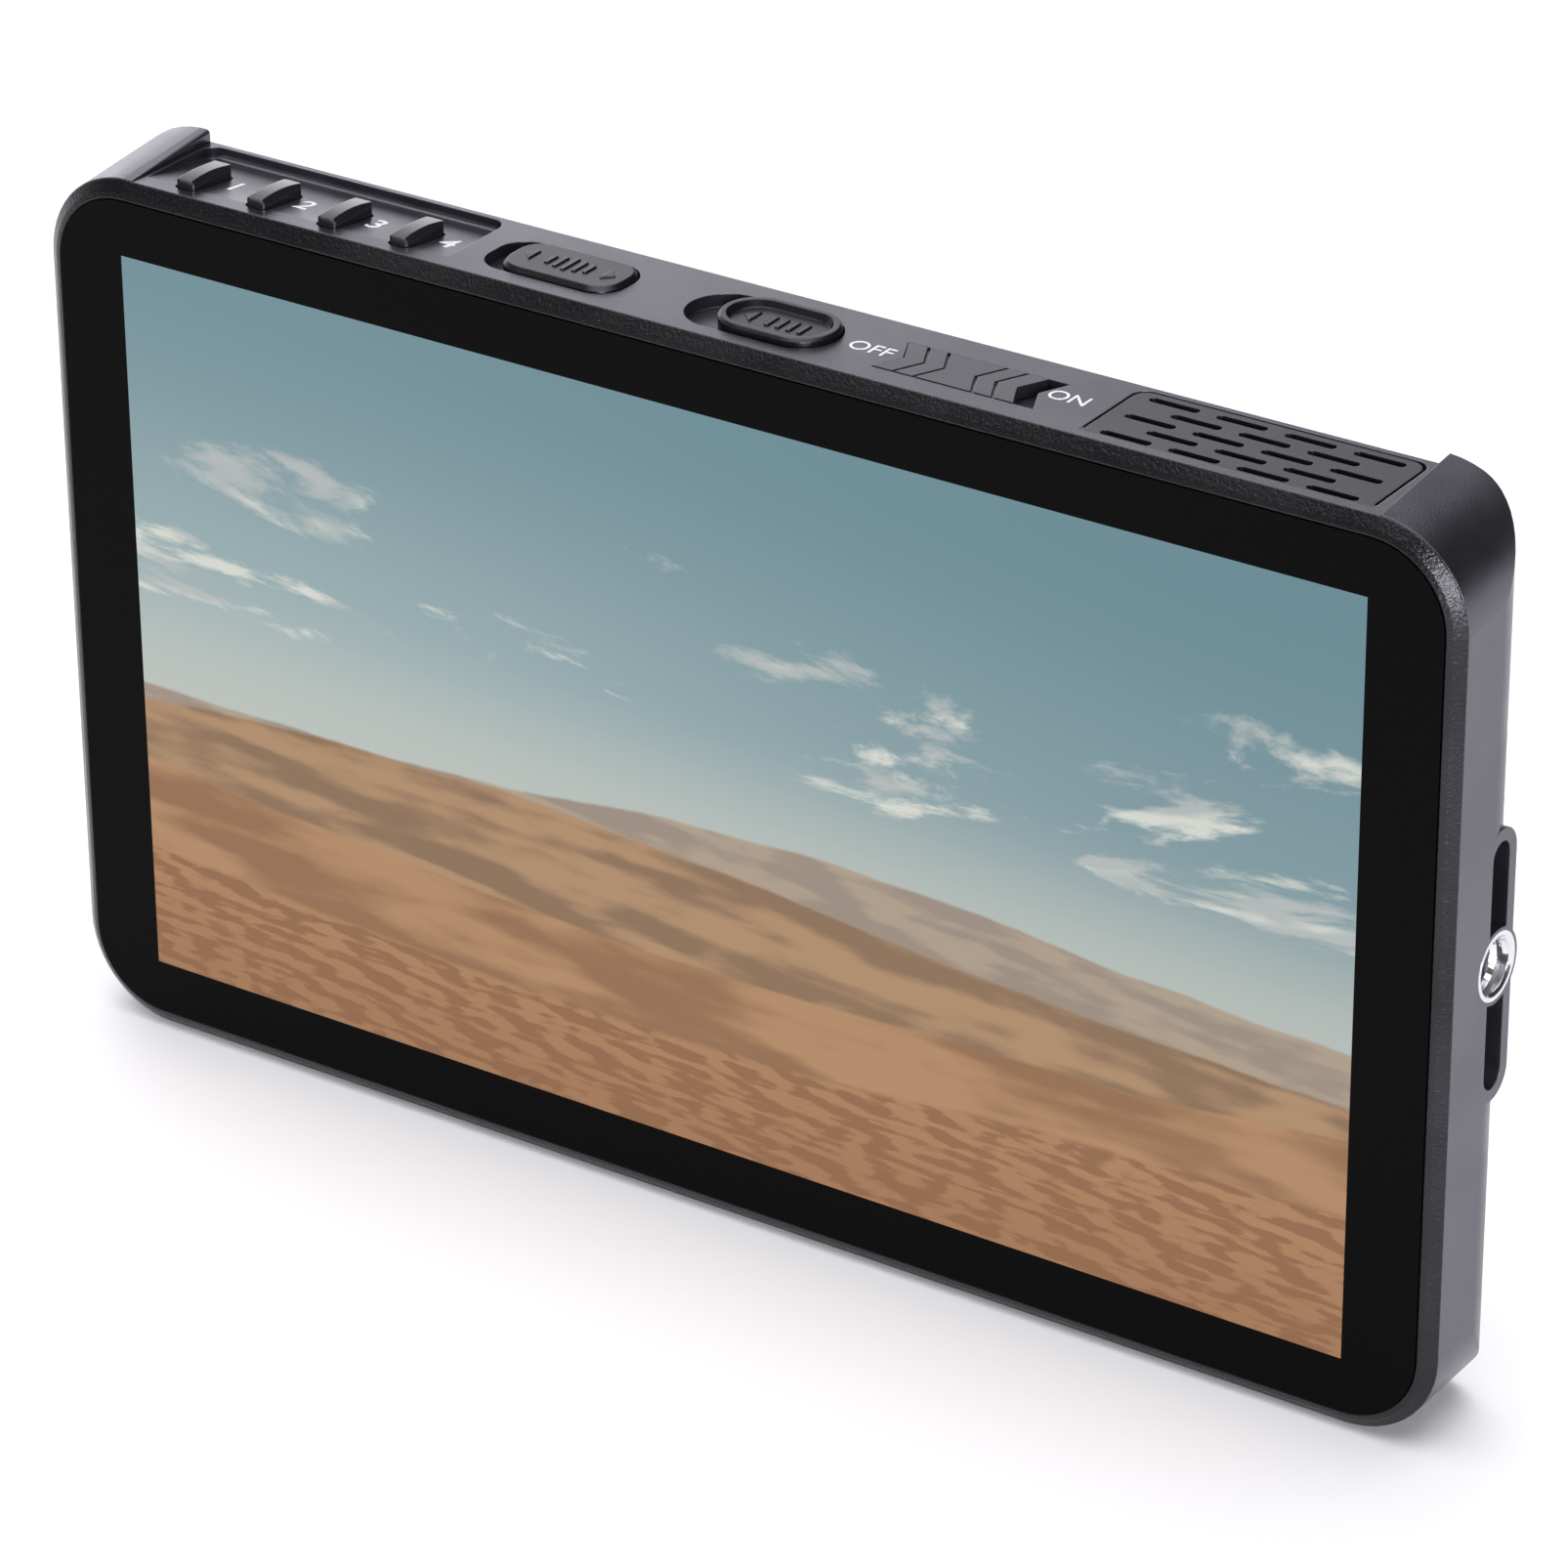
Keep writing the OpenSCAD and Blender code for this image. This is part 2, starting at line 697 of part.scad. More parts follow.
module front_frame() {
    lip = frame_w - 0.1;
    tongue = rebate_w + seat_gap;
    color([0.2, 0.2, 0.22]) placed() {
        difference() {
            union() {
                frame_sweep(body_w, body_h, corner_r)
                    polygon([
                        [corner_r, frame_step], [corner_r - frame_bevel, 0.3],
                        [corner_r - lip + 0.15, 0.12], [corner_r - lip, 0.12],
                        [corner_r - lip, ledge_y], [corner_r - frame_w - ledge_w, ledge_y],
                        [corner_r - frame_w - ledge_w, tongue_y],
                        [corner_r - tongue, tongue_y], [corner_r - tongue, frame_step]
                    ]);
                for (sx = [-1, 1], z = bracket_posts_z)
                    translate([sx * bracket_post_x, 0, z]) pin_y(1.8, ledge_y, bracket_y);
            }
            for (sx = [-1, 1], z = bracket_posts_z)
                translate([sx * bracket_post_x, 0, z])
                    pin_y(screw_r + fit_gap, ledge_y + 0.5, bracket_y + eps);
        }
    }
}

bracket_post_x = half_w - wall - 2.3;
bracket_posts_z = [-0.34 * body_h, 0.34 * body_h];

module cover_glass() {
    edge = frame_w;
    color([0.02, 0.02, 0.03]) placed()
        front_prism(0, glass_t) body_outline(edge);
}

module glass_gasket() {
    inner = frame_w + ledge_w;
    color([0.1, 0.1, 0.1]) placed() difference() {
        front_prism(glass_t, ledge_y) body_outline(frame_w + seat_gap);
        front_prism(glass_t - eps, ledge_y + eps) body_outline(inner);
    }
}

module display_panel() {
    color([0.35, 0.5, 0.55]) placed()
        front_prism(panel_y - bond_t, backlight_y)
            square([screen_w + 2 * panel_rim, screen_h + 2 * panel_rim], center = true);
}

// A tray with a raised edge round the light guide
module backlight() {
    w = screen_w + 2 * panel_rim - 0.4;
    h = screen_h + 2 * panel_rim - 0.4;
    color([0.85, 0.85, 0.85]) placed() {
        front_prism(backlight_y, backlight_y + backlight_t)
            rounded_rect(w, h, 1);
        front_prism(backlight_y + backlight_t, bracket_y)
            square([w - 12, h - 12], center = true);
    }
}

// Windows in the bracket
window_w = opening_w / 4 - 9;
window_h = window_w * 0.7;
window_pitch = opening_w / 4 + 6.75;
window_z = -3;
module panel_bracket() {
    top = key_board_z - 0.4;
    bottom = -deck_z + wall + 1.9;
    color([0.6, 0.62, 0.64]) placed() difference() {
        union() {
            front_prism(bracket_y, bracket_back) intersection() {
                body_outline(wall + 0.4);
                translate([-half_w, bottom]) square([body_w, top - bottom]);
            }
            for (sx = [-1, 1], sz = [-1, 1])
                translate([sx * post_x, 0, sz * post_z]) pin_y(2.2, bracket_y, cavity_y);
            translate([release_x, 0, spring_z]) pin_y(0.55, bracket_y, bracket_back + 1.4);
        }
        for (sx = [-1, 1], z = bracket_posts_z) translate([sx * bracket_post_x, 0, z])
            pin_y(screw_r + 0.1, bracket_y - eps, bracket_back + eps);
        for (p = board_screw_at) translate([p[0], 0, p[1]])
            pin_y(0.8 + fit_gap, bracket_y - eps, bracket_back + eps);
        for (sx = [-1, 1], sz = [-1, 1]) translate([sx * post_x, 0, sz * post_z])
            pin_y(0.85, bracket_back + 1, cavity_y + eps);
        front_prism(bracket_y - eps, bracket_back + eps)
            for (x = [-1, 0, 1], z = [-1, 1])
                translate([x * window_pitch, z * window_w / 2 + window_z])
                    rounded_rect(window_w, window_h, 2);
        side_prism(half_w - side_slot_depth - slot_floor - seat_gap, half_w)
            translate([insert_y, insert_z]) rotate(90) side_pad_plan(slot_floor + seat_gap);
        block(side_boss_x - seat_gap, half_w, bracket_y - eps, bracket_back + eps,
              insert_z - boss_r - seat_gap, insert_z + boss_r + seat_gap);
        block(-boss_r - seat_gap, boss_r + seat_gap, bracket_y - eps, bracket_back + eps,
              -deck_z, low_boss_z + seat_gap);
    }
}

module bracket_screws() {
    color([0.7, 0.7, 0.72]) placed()
        for (sx = [-1, 1], z = bracket_posts_z) translate([sx * bracket_post_x, 0, z]) {
            pin_y(screw_r, ledge_y + 0.7, bracket_back + 0.1);
            pin_y(1.2, bracket_back, bracket_back + 0.6);
        }
}

module vent_grille() {
    mid_x = (vent_x0 + vent_x1) / 2;
    color([0.12, 0.12, 0.14]) placed() difference() {
        plan_prism(deck_z - vent_t + fit_gap, deck_z) translate([0, fit_gap])
            vent_outline(fit_gap);
        plan_prism(deck_z - groove_depth, deck_z + eps) difference() {
            translate([vent_x0 - eps, groove_start])
                square([vent_w + 2 * eps, vent_y1 + eps - groove_start]);
            vent_outline(groove_w);
        }
        for (row = [0:row_count - 1]) {
            count = (row % 2 == 0) ? 4 : 3;
            for (i = [0:count - 1])
                plan_prism(deck_z - vent_t - eps, deck_z + eps)
                    translate([mid_x + (i - (count - 1) / 2) * slot_pitch,
                               row_start + row * row_pitch])
                        obround(slot_len, slot_w);
        }
    }
}

// A key's cross-section, seen from the front, with its top edges bevelled
module key_section(x, top) {
    a = key_w / 2;
    b = a - key_bevel;
    translate([x, 0]) polygon([
        [-a, flange_z], [a, flange_z], [a, top - 2 * key_bevel], [b, top - 0.1],
        [b - 0.2, top + eps], [-b + 0.2, top + eps], [-b, top - 0.1], [-a, top - 2 * key_bevel]
    ]);
}

module fkey(i) {
    top = deck_z + key_rise;
    arch_y = key_front + 0.37 * key_len;
    color([0.16, 0.16, 0.18]) placed() {
        intersection() {
            side_prism(key_x(i) - key_w / 2 - eps, key_x(i) + key_w / 2 + eps)
                translate([arch_y, top - key_arch_r]) circle(key_arch_r, $fn = 120);
            plan_prism(flange_z, top + eps)
                translate([key_x(i), key_front + key_len / 2])
                    rounded_rect(key_w, key_len, key_corner);
            front_prism(key_front - eps, key_front + key_len + eps) key_section(key_x(i), top);
        }
        block(key_x(i) - key_w / 2 - 0.8, key_x(i) + key_w / 2 + 0.8,
              key_front, switch_y + 1.4, flange_z, flange_z + flange_t);
        translate([key_x(i), switch_y, key_board_top + key_travel + 0.1])
            cylinder(r = 0.7, h = flange_z - key_board_top - key_travel);
    }
}

module key_1() { fkey(0); }
module key_2() { fkey(1); }
module key_3() { fkey(2); }
module key_4() { fkey(3); }

// The part of a slider below its cap: neck and carriage
module carriage(x, carriage_l, carriage_w) {
    block(x - neck_l / 2, x + neck_l / 2, pocket_y - neck_w / 2, pocket_y + neck_w / 2,
          flange_z, pocket_z + 0.3);
    block(x - carriage_l / 2, x + carriage_l / 2, pocket_y - carriage_w / 2,
          pocket_y + carriage_w / 2, flange_z, flange_z + flange_t);
}

peg_r = 0.6;
module switch_peg(x) {
    translate([x, switch_y, key_board_top + 0.5])
        cylinder(r = peg_r, h = flange_z - key_board_top);
}

// A section of a cap with a bevelled top edge; a is its half width
function cap_section(a, z0, z1, bevel) = [
    [-a, z0], [a, z0], [a, z1 - bevel], [a - bevel, z1], [-a + bevel, z1], [-a, z1 - bevel]
];

// A cap's round corner or end, with the same bevel
module round_end(r, z0, z1, bevel) {
    translate([0, 0, z0]) cylinder(r = r, h = z1 - z0 - bevel);
    translate([0, 0, z1 - bevel]) cylinder(r1 = r, r2 = r - bevel, h = bevel);
}

// A cap with rounded corners and a bevelled top edge
module bevelled_cap(l, w, r, z0, z1, bevel) {
    side_prism(-l / 2 + r, l / 2 - r) polygon(cap_section(w / 2, z0, z1, bevel));
    front_prism(-w / 2 + r, w / 2 - r) polygon(cap_section(l / 2, z0, z1, bevel));
    for (sx = [-1, 1], sy = [-1, 1])
        translate([sx * (l / 2 - r), sy * (w / 2 - r), 0]) round_end(r, z0, z1, bevel);
}

// A cap with half-round ends and a bevelled top edge
module round_cap(l, w, z0, z1, bevel) {
    side_prism(-(l - w) / 2, (l - w) / 2) polygon(cap_section(w / 2, z0, z1, bevel));
    for (s = [-1, 1]) translate([s * (l - w) / 2, 0, 0]) round_end(w / 2, z0, z1, bevel);
}

// The dish in the release slider, narrower at its floor than at its rim
module dish_cut(l, w, z0, z1) {
    a = w / 2 - dish_slope;
    rise = z1 - z0;
    side_prism(-(l - w) / 2, (l - w) / 2)
        polygon([
            [-a, z0], [a, z0], [w / 2, z1], [w / 2, z1 + eps], [-w / 2, z1 + eps], [-w / 2, z1]
        ]);
    for (s = [-1, 1]) translate([s * (l - w) / 2, 0, 0]) {
        translate([0, 0, z0]) cylinder(r1 = a, r2 = w / 2, h = rise);
        translate([0, 0, z1]) cylinder(r = w / 2, h = eps);
    }
}

module touch_slider() {
    color([0.17, 0.17, 0.19]) placed() {
        translate([touch_rest_x, pocket_y, 0])
            bevelled_cap(touch_l, touch_w, touch_corner, pocket_z + 0.1,
                         deck_z + touch_rise, touch_bevel);
        carriage(touch_rest_x, touch_carriage, 6);
        switch_peg(touch_rest_x);
    }
}

module release_slider() {
    x = keeper_x + release_travel / 2;
    foot_x0 = latch_x + 2.2;
    foot_x1 = foot_x0 + 4.4;
    foot_z = latch_z1 + 0.2;
    rim_z = deck_z + release_rise;
    color([0.17, 0.17, 0.19]) placed() {
        difference() {
            translate([release_rest_x, pocket_y, 0])
                round_cap(release_l, release_w, pocket_z + 0.1, rim_z, release_bevel);
            translate([release_rest_x, pocket_y, 0])
                dish_cut(release_l - 2 * dish_rim, release_w - 2 * dish_rim,
                         rim_z - dish_depth, rim_z);
        }
        carriage(x, release_carriage, 6);
        plan_prism(flange_z, flange_z + flange_t)
            polygon([
                [foot_x0, pocket_y], [foot_x1, pocket_y],
                [foot_x1, cavity_y - 0.2], [foot_x0, cavity_y - 0.2]
            ]);
        plan_prism(foot_z, flange_z + flange_t)
            polygon([
                [foot_x0, wedge_y(foot_x0) + 0.1], [foot_x1, wedge_y(foot_x1) + 0.1],
                [foot_x1, cavity_y - 0.2], [foot_x0, cavity_y - 0.2]
            ]);
    }
}

// The line on which the latch's wing meets the slider's foot
function wedge_y(x) = wedge_back - wedge_slope * (x - latch_x);

spring_z = latch_z0 + 0.3;
spring_r = 1.0;
spring_back = latch_front + 4.6;
module battery_latch() {
    x1 = latch_x + latch_w;
    shoulder_y = shell_d - 0.1;
    color([0.55, 0.56, 0.58]) placed() difference() {
        union() {
            block(latch_x, x1, latch_front, plate_y + latch_h, latch_z0, latch_z1);
            block(latch_x, x1, latch_front, shoulder_y, latch_z0 - 1.8, latch_z1);
            plan_prism(latch_z1 - eps, wing_top)
                polygon([
                    [latch_x, latch_front], [x1, latch_front],
                    [x1, wedge_y(x1)], [latch_x, wedge_y(latch_x)]
                ]);
        }
        translate([release_x, 0, spring_z]) pin_y(spring_r + 0.25, latch_front - eps, spring_back);
        side_prism(latch_x - eps, x1 + eps)
            polygon([
                [plate_y + latch_h + eps, latch_z1 - 1.6],
                [plate_y + latch_h + eps, latch_z1 + eps],
                [plate_y + 0.4, latch_z1 + eps], [plate_y + 0.4, latch_z1]
            ]);
    }
}

// A coil spring as a swept tube with flat turns
spring_turns = 6;
spring_wire = 0.22;
spring_steps = 12;
module latch_spring() {
    length = spring_back - bracket_back - 2 * spring_wire - 0.1;
    mean_r = spring_r - spring_wire;
    sides = 6;
    count = spring_turns * spring_steps;
    function ring_point(k, s) = let (
            a = 360 * k / spring_steps,
            y = bracket_back + spring_wire + 0.05 + length * k / count,
            b = 360 * s / sides,
            r = mean_r + spring_wire * cos(b)
        ) [release_x + r * cos(a), y + spring_wire * sin(b), spring_z + r * sin(a)];
    points = [for (k = [0:count], s = [0:sides - 1]) ring_point(k, s)];
    walls = [for (k = [0:count - 1], s = [0:sides - 1]) let (n = (s + 1) % sides)
        [k * sides + s, k * sides + n, (k + 1) * sides + n, (k + 1) * sides + s]];
    first = [for (s = [sides - 1:-1:0]) s];
    last = [for (s = [0:sides - 1]) count * sides + s];
    color([0.75, 0.75, 0.78]) placed()
        polyhedron(points, concat(walls, [first, last]), convexity = 6);
}

// A grip groove parallel to the slider's notched ends. Its arms run on past the slider's
// sides, so their outer ends lie as far out as the tip lies in.
module grip_groove(x, side) {
    outer = x + side * tail_notch;
    tip = x - side * tail_notch;
    polygon([
        [outer, -power_w], [outer + grip_w, -power_w], [tip + grip_w, 0],
        [outer + grip_w, power_w], [outer, power_w], [tip, 0]
    ]);
}

module power_slider() {
    x = power_rest_x;
    top = deck_z + 0.05;
    color([0.15, 0.15, 0.17]) placed() {
        difference() {
            plan_prism(pocket_z + 0.1, top)
                translate([x, pocket_y]) tail_outline(power_l, power_w);
            plan_prism(top - grip_depth, top + eps)
                for (side = [-1, 1], k = [1, 2])
                    translate([x, pocket_y])
                        grip_groove(side * (power_l / 2 - k * grip_pitch) - grip_w / 2, side);
        }
        carriage(x, power_carriage, 4.8);
        switch_peg(x);
    }
}

module release_keeper() {
    x0 = keeper_posts_x[0];
    x1 = keeper_posts_x[1];
    color([0.7, 0.7, 0.72]) placed() difference() {
        plan_prism(keeper_z, keeper_z + keeper_t)
            translate([(x0 + x1) / 2, keeper_y]) rounded_rect(x1 - x0 + 3, 3.4, 1);
        for (x = keeper_posts_x) translate([x, keeper_y, keeper_z - eps])
            cylinder(r = screw_r + 0.1, h = 1);
    }
}

module small_screw(x, y, z, reach) {
    translate([x, y, z - 0.5]) cylinder(r = 1.0, h = 0.5);
    translate([x, y, z - 0.1]) cylinder(r = screw_r, h = reach + 0.1);
}

module keeper_screws() {
    color([0.7, 0.7, 0.72]) placed()
        for (x = keeper_posts_x) small_screw(x, keeper_y, keeper_z, 1.5);
}

module switch_screws() {
    color([0.7, 0.7, 0.72]) placed()
        for (x = concat(key_posts_x, power_posts_x)) small_screw(x, post_y, key_board_z, 2.8);
}

module strip_board(x0, x1, screws) {
    color([0.06, 0.3, 0.16]) placed() difference() {
        block(x0, x1, key_board_front, key_board_back, key_board_z, key_board_top);
        for (x = screws) translate([x, post_y, key_board_z - eps])
            cylinder(r = screw_r + 0.1, h = 2);
    }
}

module key_board() {
    strip_board(key_x(0) - 4, key_posts_x[2] + 2, key_posts_x);
}

module power_board() {
    strip_board(power_posts_x[0] - 2, power_posts_x[1] + 2, power_posts_x);
}

module key_switches() {
    color([0.8, 0.8, 0.8]) placed()
        for (i = [0:key_count - 1]) difference() {
            block(key_x(i) - 1.6, key_x(i) + 1.6, switch_y - 1.6, switch_y + 1.6,
                  key_board_top, switch_top);
            translate([key_x(i), switch_y, key_board_top + 0.1])
                cylinder(r = 0.9, h = switch_h);
        }
}

module slide_switch(x, travel) {
    color([0.75, 0.75, 0.75]) placed() difference() {
        block(x - 4, x + 4, switch_y - 1.6, switch_y + 1.6, key_board_top, switch_top);
        plan_prism(key_board_top + 0.3, switch_top + eps)
            translate([x, switch_y]) obround(travel + 2 * peg_r + 0.4, 2 * peg_r + 0.4);
    }
}

module touch_switch() { slide_switch(touch_x, touch_travel); }
module power_switch() { slide_switch(power_x, power_travel); }

board_screw_x = [board_x0 + 19.2, board_x1 - 3];
board_screw_at = [for (x = board_screw_x, z = [board_z0 + 3, board_z1 - 3]) [x, z]];

module board_outline() {
    translate([(board_x0 + board_x1) / 2, (board_z0 + board_z1) / 2])
        square([board_x1 - board_x0, board_z1 - board_z0], center = true);
}

module insulator_sheet() {
    color([0.9, 0.85, 0.3]) placed() difference() {
        front_prism(bracket_back, board_y) board_outline();
        for (p = board_screw_at) translate([p[0], 0, p[1]])
            pin_y(1.2, bracket_back - eps, board_y + eps);
    }
}

module main_board() {
    color([0.05, 0.28, 0.15]) placed() difference() {
        front_prism(board_y, board_back) board_outline();
        for (p = board_screw_at) translate([p[0], 0, p[1]])
            pin_y(0.95, board_y - eps, board_back + eps);
    }
}

module board_screws() {
    color([0.7, 0.7, 0.72]) placed()
        for (p = board_screw_at) translate([p[0], 0, p[1]]) {
            pin_y(0.8, bracket_y + 0.1, board_back + 0.1);
            pin_y(1.5, board_back, board_back + 0.6);
        }
}

sink_w = 24;
sink_h = 24;
fin_pitch = 2.4;
fin_t = 0.8;
sink_x = board_x1 - sink_w / 2 - 2;
sink_z = board_z1 - sink_h / 2 - 8;
chip_w = 14;
chip_t = 1.25;
memory_w = 10;
memory_h = 8;
memory_t = 1;
module processor() {
    color([0.1, 0.1, 0.11]) placed() {
        front_prism(board_back, board_back + chip_t)
            translate([sink_x, sink_z]) rounded_rect(chip_w, chip_w, 0.4);
        front_prism(board_back, board_back + memory_t)
            for (k = [0, 1])
                translate([sink_x - sink_w - memory_w, sink_z - k * 1.5 * memory_h])
                    square([memory_w, memory_h], center = true);
    }
}

module heat_sink() {
    base_y = board_back + chip_t;
    color([0.75, 0.76, 0.78]) placed() {
        front_prism(base_y, base_y + 1)
            translate([sink_x, sink_z]) square([sink_w, sink_h], center = true);
        for (x = [(fin_t - sink_w) / 2:fin_pitch:(sink_w - fin_t) / 2])
            block(sink_x + x - fin_t / 2, sink_x + x + fin_t / 2, base_y + 0.9, cavity_y - 0.4,
                  sink_z - sink_h / 2, sink_z + sink_h / 2);
    }
}

// Outline of a picture socket with its two cut corners, lying along z
module hdmi_outline(inset = 0) {
    a = hdmi_w / 2 - inset;
    b = hdmi_h / 2 - inset;
    polygon([[-b, -a], [b - 1.6, -a], [b, -a + 1.2], [b, a - 1.2], [b - 1.6, a], [-b, a]]);
}

module hdmi_socket(z) {
    x1 = socket_face + hdmi_d;
    color([0.72, 0.72, 0.74]) placed() translate([0, hdmi_y, z]) {
        difference() {
            side_prism(socket_face, x1) hdmi_outline();
            side_prism(socket_face - eps, x1 - 1) hdmi_outline(shell_t);
        }
        block(socket_face + 1.2, x1 - 0.5, -0.5, 0.5, -5.6, 5.6);
    }
}

module hdmi_in() { hdmi_socket(hdmi_z[0]); }
module hdmi_out() { hdmi_socket(hdmi_z[1]); }

module usb_socket() {
    x1 = socket_face + usb_d;
    color([0.72, 0.72, 0.74]) placed() translate([0, board_back + usb_h / 2, usb_z]) {
        difference() {
            side_prism(socket_face, x1) rotate(90) obround(usb_w, usb_h);
            side_prism(socket_face - eps, x1 - 1) rotate(90)
                obround(usb_w - 2 * shell_t, usb_h - 2 * shell_t);
        }
        block(socket_face + 0.8, x1 - 0.5, -0.35, 0.35, -3.3, 3.3);
    }
}

module headphone_socket() {
    x0 = jack_face;
    color([0.08, 0.08, 0.09]) placed() translate([0, board_back + jack_h / 2, jack_z])
        difference() {
            side_prism(x0, x0 + jack_d) square([jack_h, jack_w], center = true);
            translate([x0 - eps, 0, 0]) rotate([0, 90, 0])
                cylinder(r = jack_r, h = jack_d - 1.5);
        }
}

module dc_socket() {
    x0 = jack_face;
    color([0.08, 0.08, 0.09]) placed() translate([0, board_back + dc_h / 2, dc_z]) {
        difference() {
            side_prism(x0, x0 + dc_d) square([dc_h, dc_w], center = true);
            translate([x0 - eps, 0, 0]) rotate([0, 90, 0])
                cylinder(r = dc_r, h = dc_d - 1);
        }
        translate([x0 + 0.6, 0, 0]) rotate([0, 90, 0]) cylinder(r = 0.65, h = dc_d - 1);
    }
}

ribbon_t = 0.15;
display_ribbon_x = board_screw_x[0] + 6;
module display_ribbon() {
    z_low = -deck_z + wall + 1.2;
    z_panel = -screen_h / 2 - panel_rim;
    ribbon_y = tongue_y + seat_gap;
    color([0.8, 0.5, 0.15]) placed() side_prism(display_ribbon_x, display_ribbon_x + 22)
        polygon([
            [ribbon_y, z_panel], [ribbon_y, z_low],
            [board_back + 0.9, z_low], [board_back + 0.9, board_z0 + 4],
            [board_back, board_z0 + 4], [board_back, board_z0 + 4 - ribbon_t],
            [board_back + 0.9 - ribbon_t, board_z0 + 4 - ribbon_t],
            [board_back + 0.9 - ribbon_t, z_low + ribbon_t],
            [ribbon_y + ribbon_t, z_low + ribbon_t], [ribbon_y + ribbon_t, z_panel]
        ]);
}

// A ribbon from a key board down to the main board
module board_ribbon(x0, x1) {
    low = board_z1 - 3;
    color([0.8, 0.5, 0.15]) placed() side_prism(x0, x1)
        polygon([
            [board_back, low], [board_back + 0.3, low],
            [board_back + 0.3, key_board_z - ribbon_t], [board_back + 2, key_board_z - ribbon_t],
            [board_back + 2, key_board_z], [board_back + 0.3 - ribbon_t, key_board_z],
            [board_back + 0.3 - ribbon_t, low + ribbon_t], [board_back, low + ribbon_t]
        ]);
}

module key_ribbon() { board_ribbon(board_screw_x[0] + 2.5, board_screw_x[0] + 11.5); }
module power_ribbon() { board_ribbon(power_x - 3, power_x + 3); }

module threaded_insert(length) {
    difference() {
        cylinder(r = insert_r, h = length);
        translate([0, 0, insert_floor]) cylinder(r = thread_r, h = length);
        translate([0, 0, length - mouth])
            cylinder(r1 = thread_r, r2 = thread_r + mouth, h = mouth);
    }
}

module side_insert() {
    color([0.82, 0.82, 0.84]) placed()
        translate([half_w - insert_len, insert_y, insert_z]) rotate([0, 90, 0])
            threaded_insert(insert_len);
}

module bottom_insert() {
    color([0.82, 0.82, 0.84]) placed()
        translate([0, insert_y, -deck_z + low_insert_len]) rotate([180, 0, 0])
            threaded_insert(low_insert_len);
}

module cover_plan() {
    w = cover_w / 2;
    polygon([
        [-w, shell_d], [w, shell_d], [w, cover_y - cover_bevel],
        [w - cover_bevel, cover_y], [-w + cover_bevel, cover_y], [-w, cover_y - cover_bevel]
    ]);
}

module cover_side() {
    h = cover_h / 2;
    polygon([
        [shell_d, -h], [cover_y - cover_bevel, -h], [cover_y, -h + cover_bevel],
        [cover_y, h - cover_bevel], [cover_y - cover_bevel, h], [shell_d, h]
    ]);
}

module latch_window(y0, y1, gap = 0.2) {
    block(latch_x - gap, latch_x + latch_w + gap, y0, y1, latch_z0 - gap, latch_z1 + gap);
}

guide_t = 1.2;
rib_gap = 0.15;
module rear_cover() {
    color([0.13, 0.13, 0.15]) placed() difference() {
        union() {
            intersection() {
                front_prism(shell_d, cover_y) rounded_rect(cover_w, cover_h, 5);
                plan_prism(-body_h, body_h) cover_plan();
                side_prism(-body_w, body_w) cover_side();
            }
            difference() {
                front_prism(cavity_y + 0.2, shell_d + 0.1)
                    rounded_rect(opening_w - 2 * rib_gap, opening_h - 2 * rib_gap, 3.8);
                front_prism(cavity_y, shell_d)
                    rounded_rect(opening_w - 2 * rib_gap - 2.4, opening_h - 2 * rib_gap - 2.4, 2.6);
                block(latch_x - 0.4, latch_x + latch_w + 0.4, cavity_y - 1, shell_d,
                      latch_z0 - 3, deck_z);
            }
            for (x = [latch_x - 0.2 - guide_t, latch_x + latch_w + 0.2])
                block(x, x + guide_t, latch_front + 2.2, shell_d + 0.1,
                      latch_z0 - 2.4, latch_z1 - 1.6);
        }
        latch_window(shell_d - 0.2, cover_y + eps);
        for (sx = [-1, 1], sz = [-1, 1]) translate([sx * post_x, 0, sz * post_z]) {
            pin_y(1.1, shell_d - eps, cover_y + eps);
            pin_y(2.1, cover_y - 0.8, cover_y + eps);
        }
        for (p = plate_screw_at) translate([p[0], 0, p[1]])
            pin_y(0.75 + fit_gap, shell_d - eps, cover_y + eps);
        for (sx = [-1, 1], row = [-3:3])
            front_prism(shell_d - eps, cover_y + eps)
                translate([sx * 0.29 * body_w, row * 4.2]) obround(17, 1.6);
        for (x = contact_x) block(x - 0.7, x + 0.7, shell_d - eps, cover_y + eps,
                                  contact_z - 0.6, contact_z + 0.6);
    }
}

module cover_screws() {
    color([0.25, 0.25, 0.27]) placed()
        for (sx = [-1, 1], sz = [-1, 1]) translate([sx * post_x, 0, sz * post_z]) difference() {
            union() {
                pin_y(0.83, bracket_back + 1.3, cover_y - 0.5);
                pin_y(2.0, cover_y - 0.78, cover_y);
            }
            pin_y(0.9, cover_y - 0.4, cover_y + eps);
        }
}

contact_z = plate_z0 + 2.2;
contact_x = [-6, 0, 6];
hook_w = 2.4;
hook_reach = 1.3;
hook_mid = -0.5;
function hook_end(s, e) = hook_mid + (s * hook_pitch + e * hook_l) / 2;
hooks_z = [for (s = [-1, 1]) [hook_end(s, -1), hook_end(s, 1)]];
plate_screw_at = [for (x = [-12, 12], z = [-24, 24]) [x, z]];

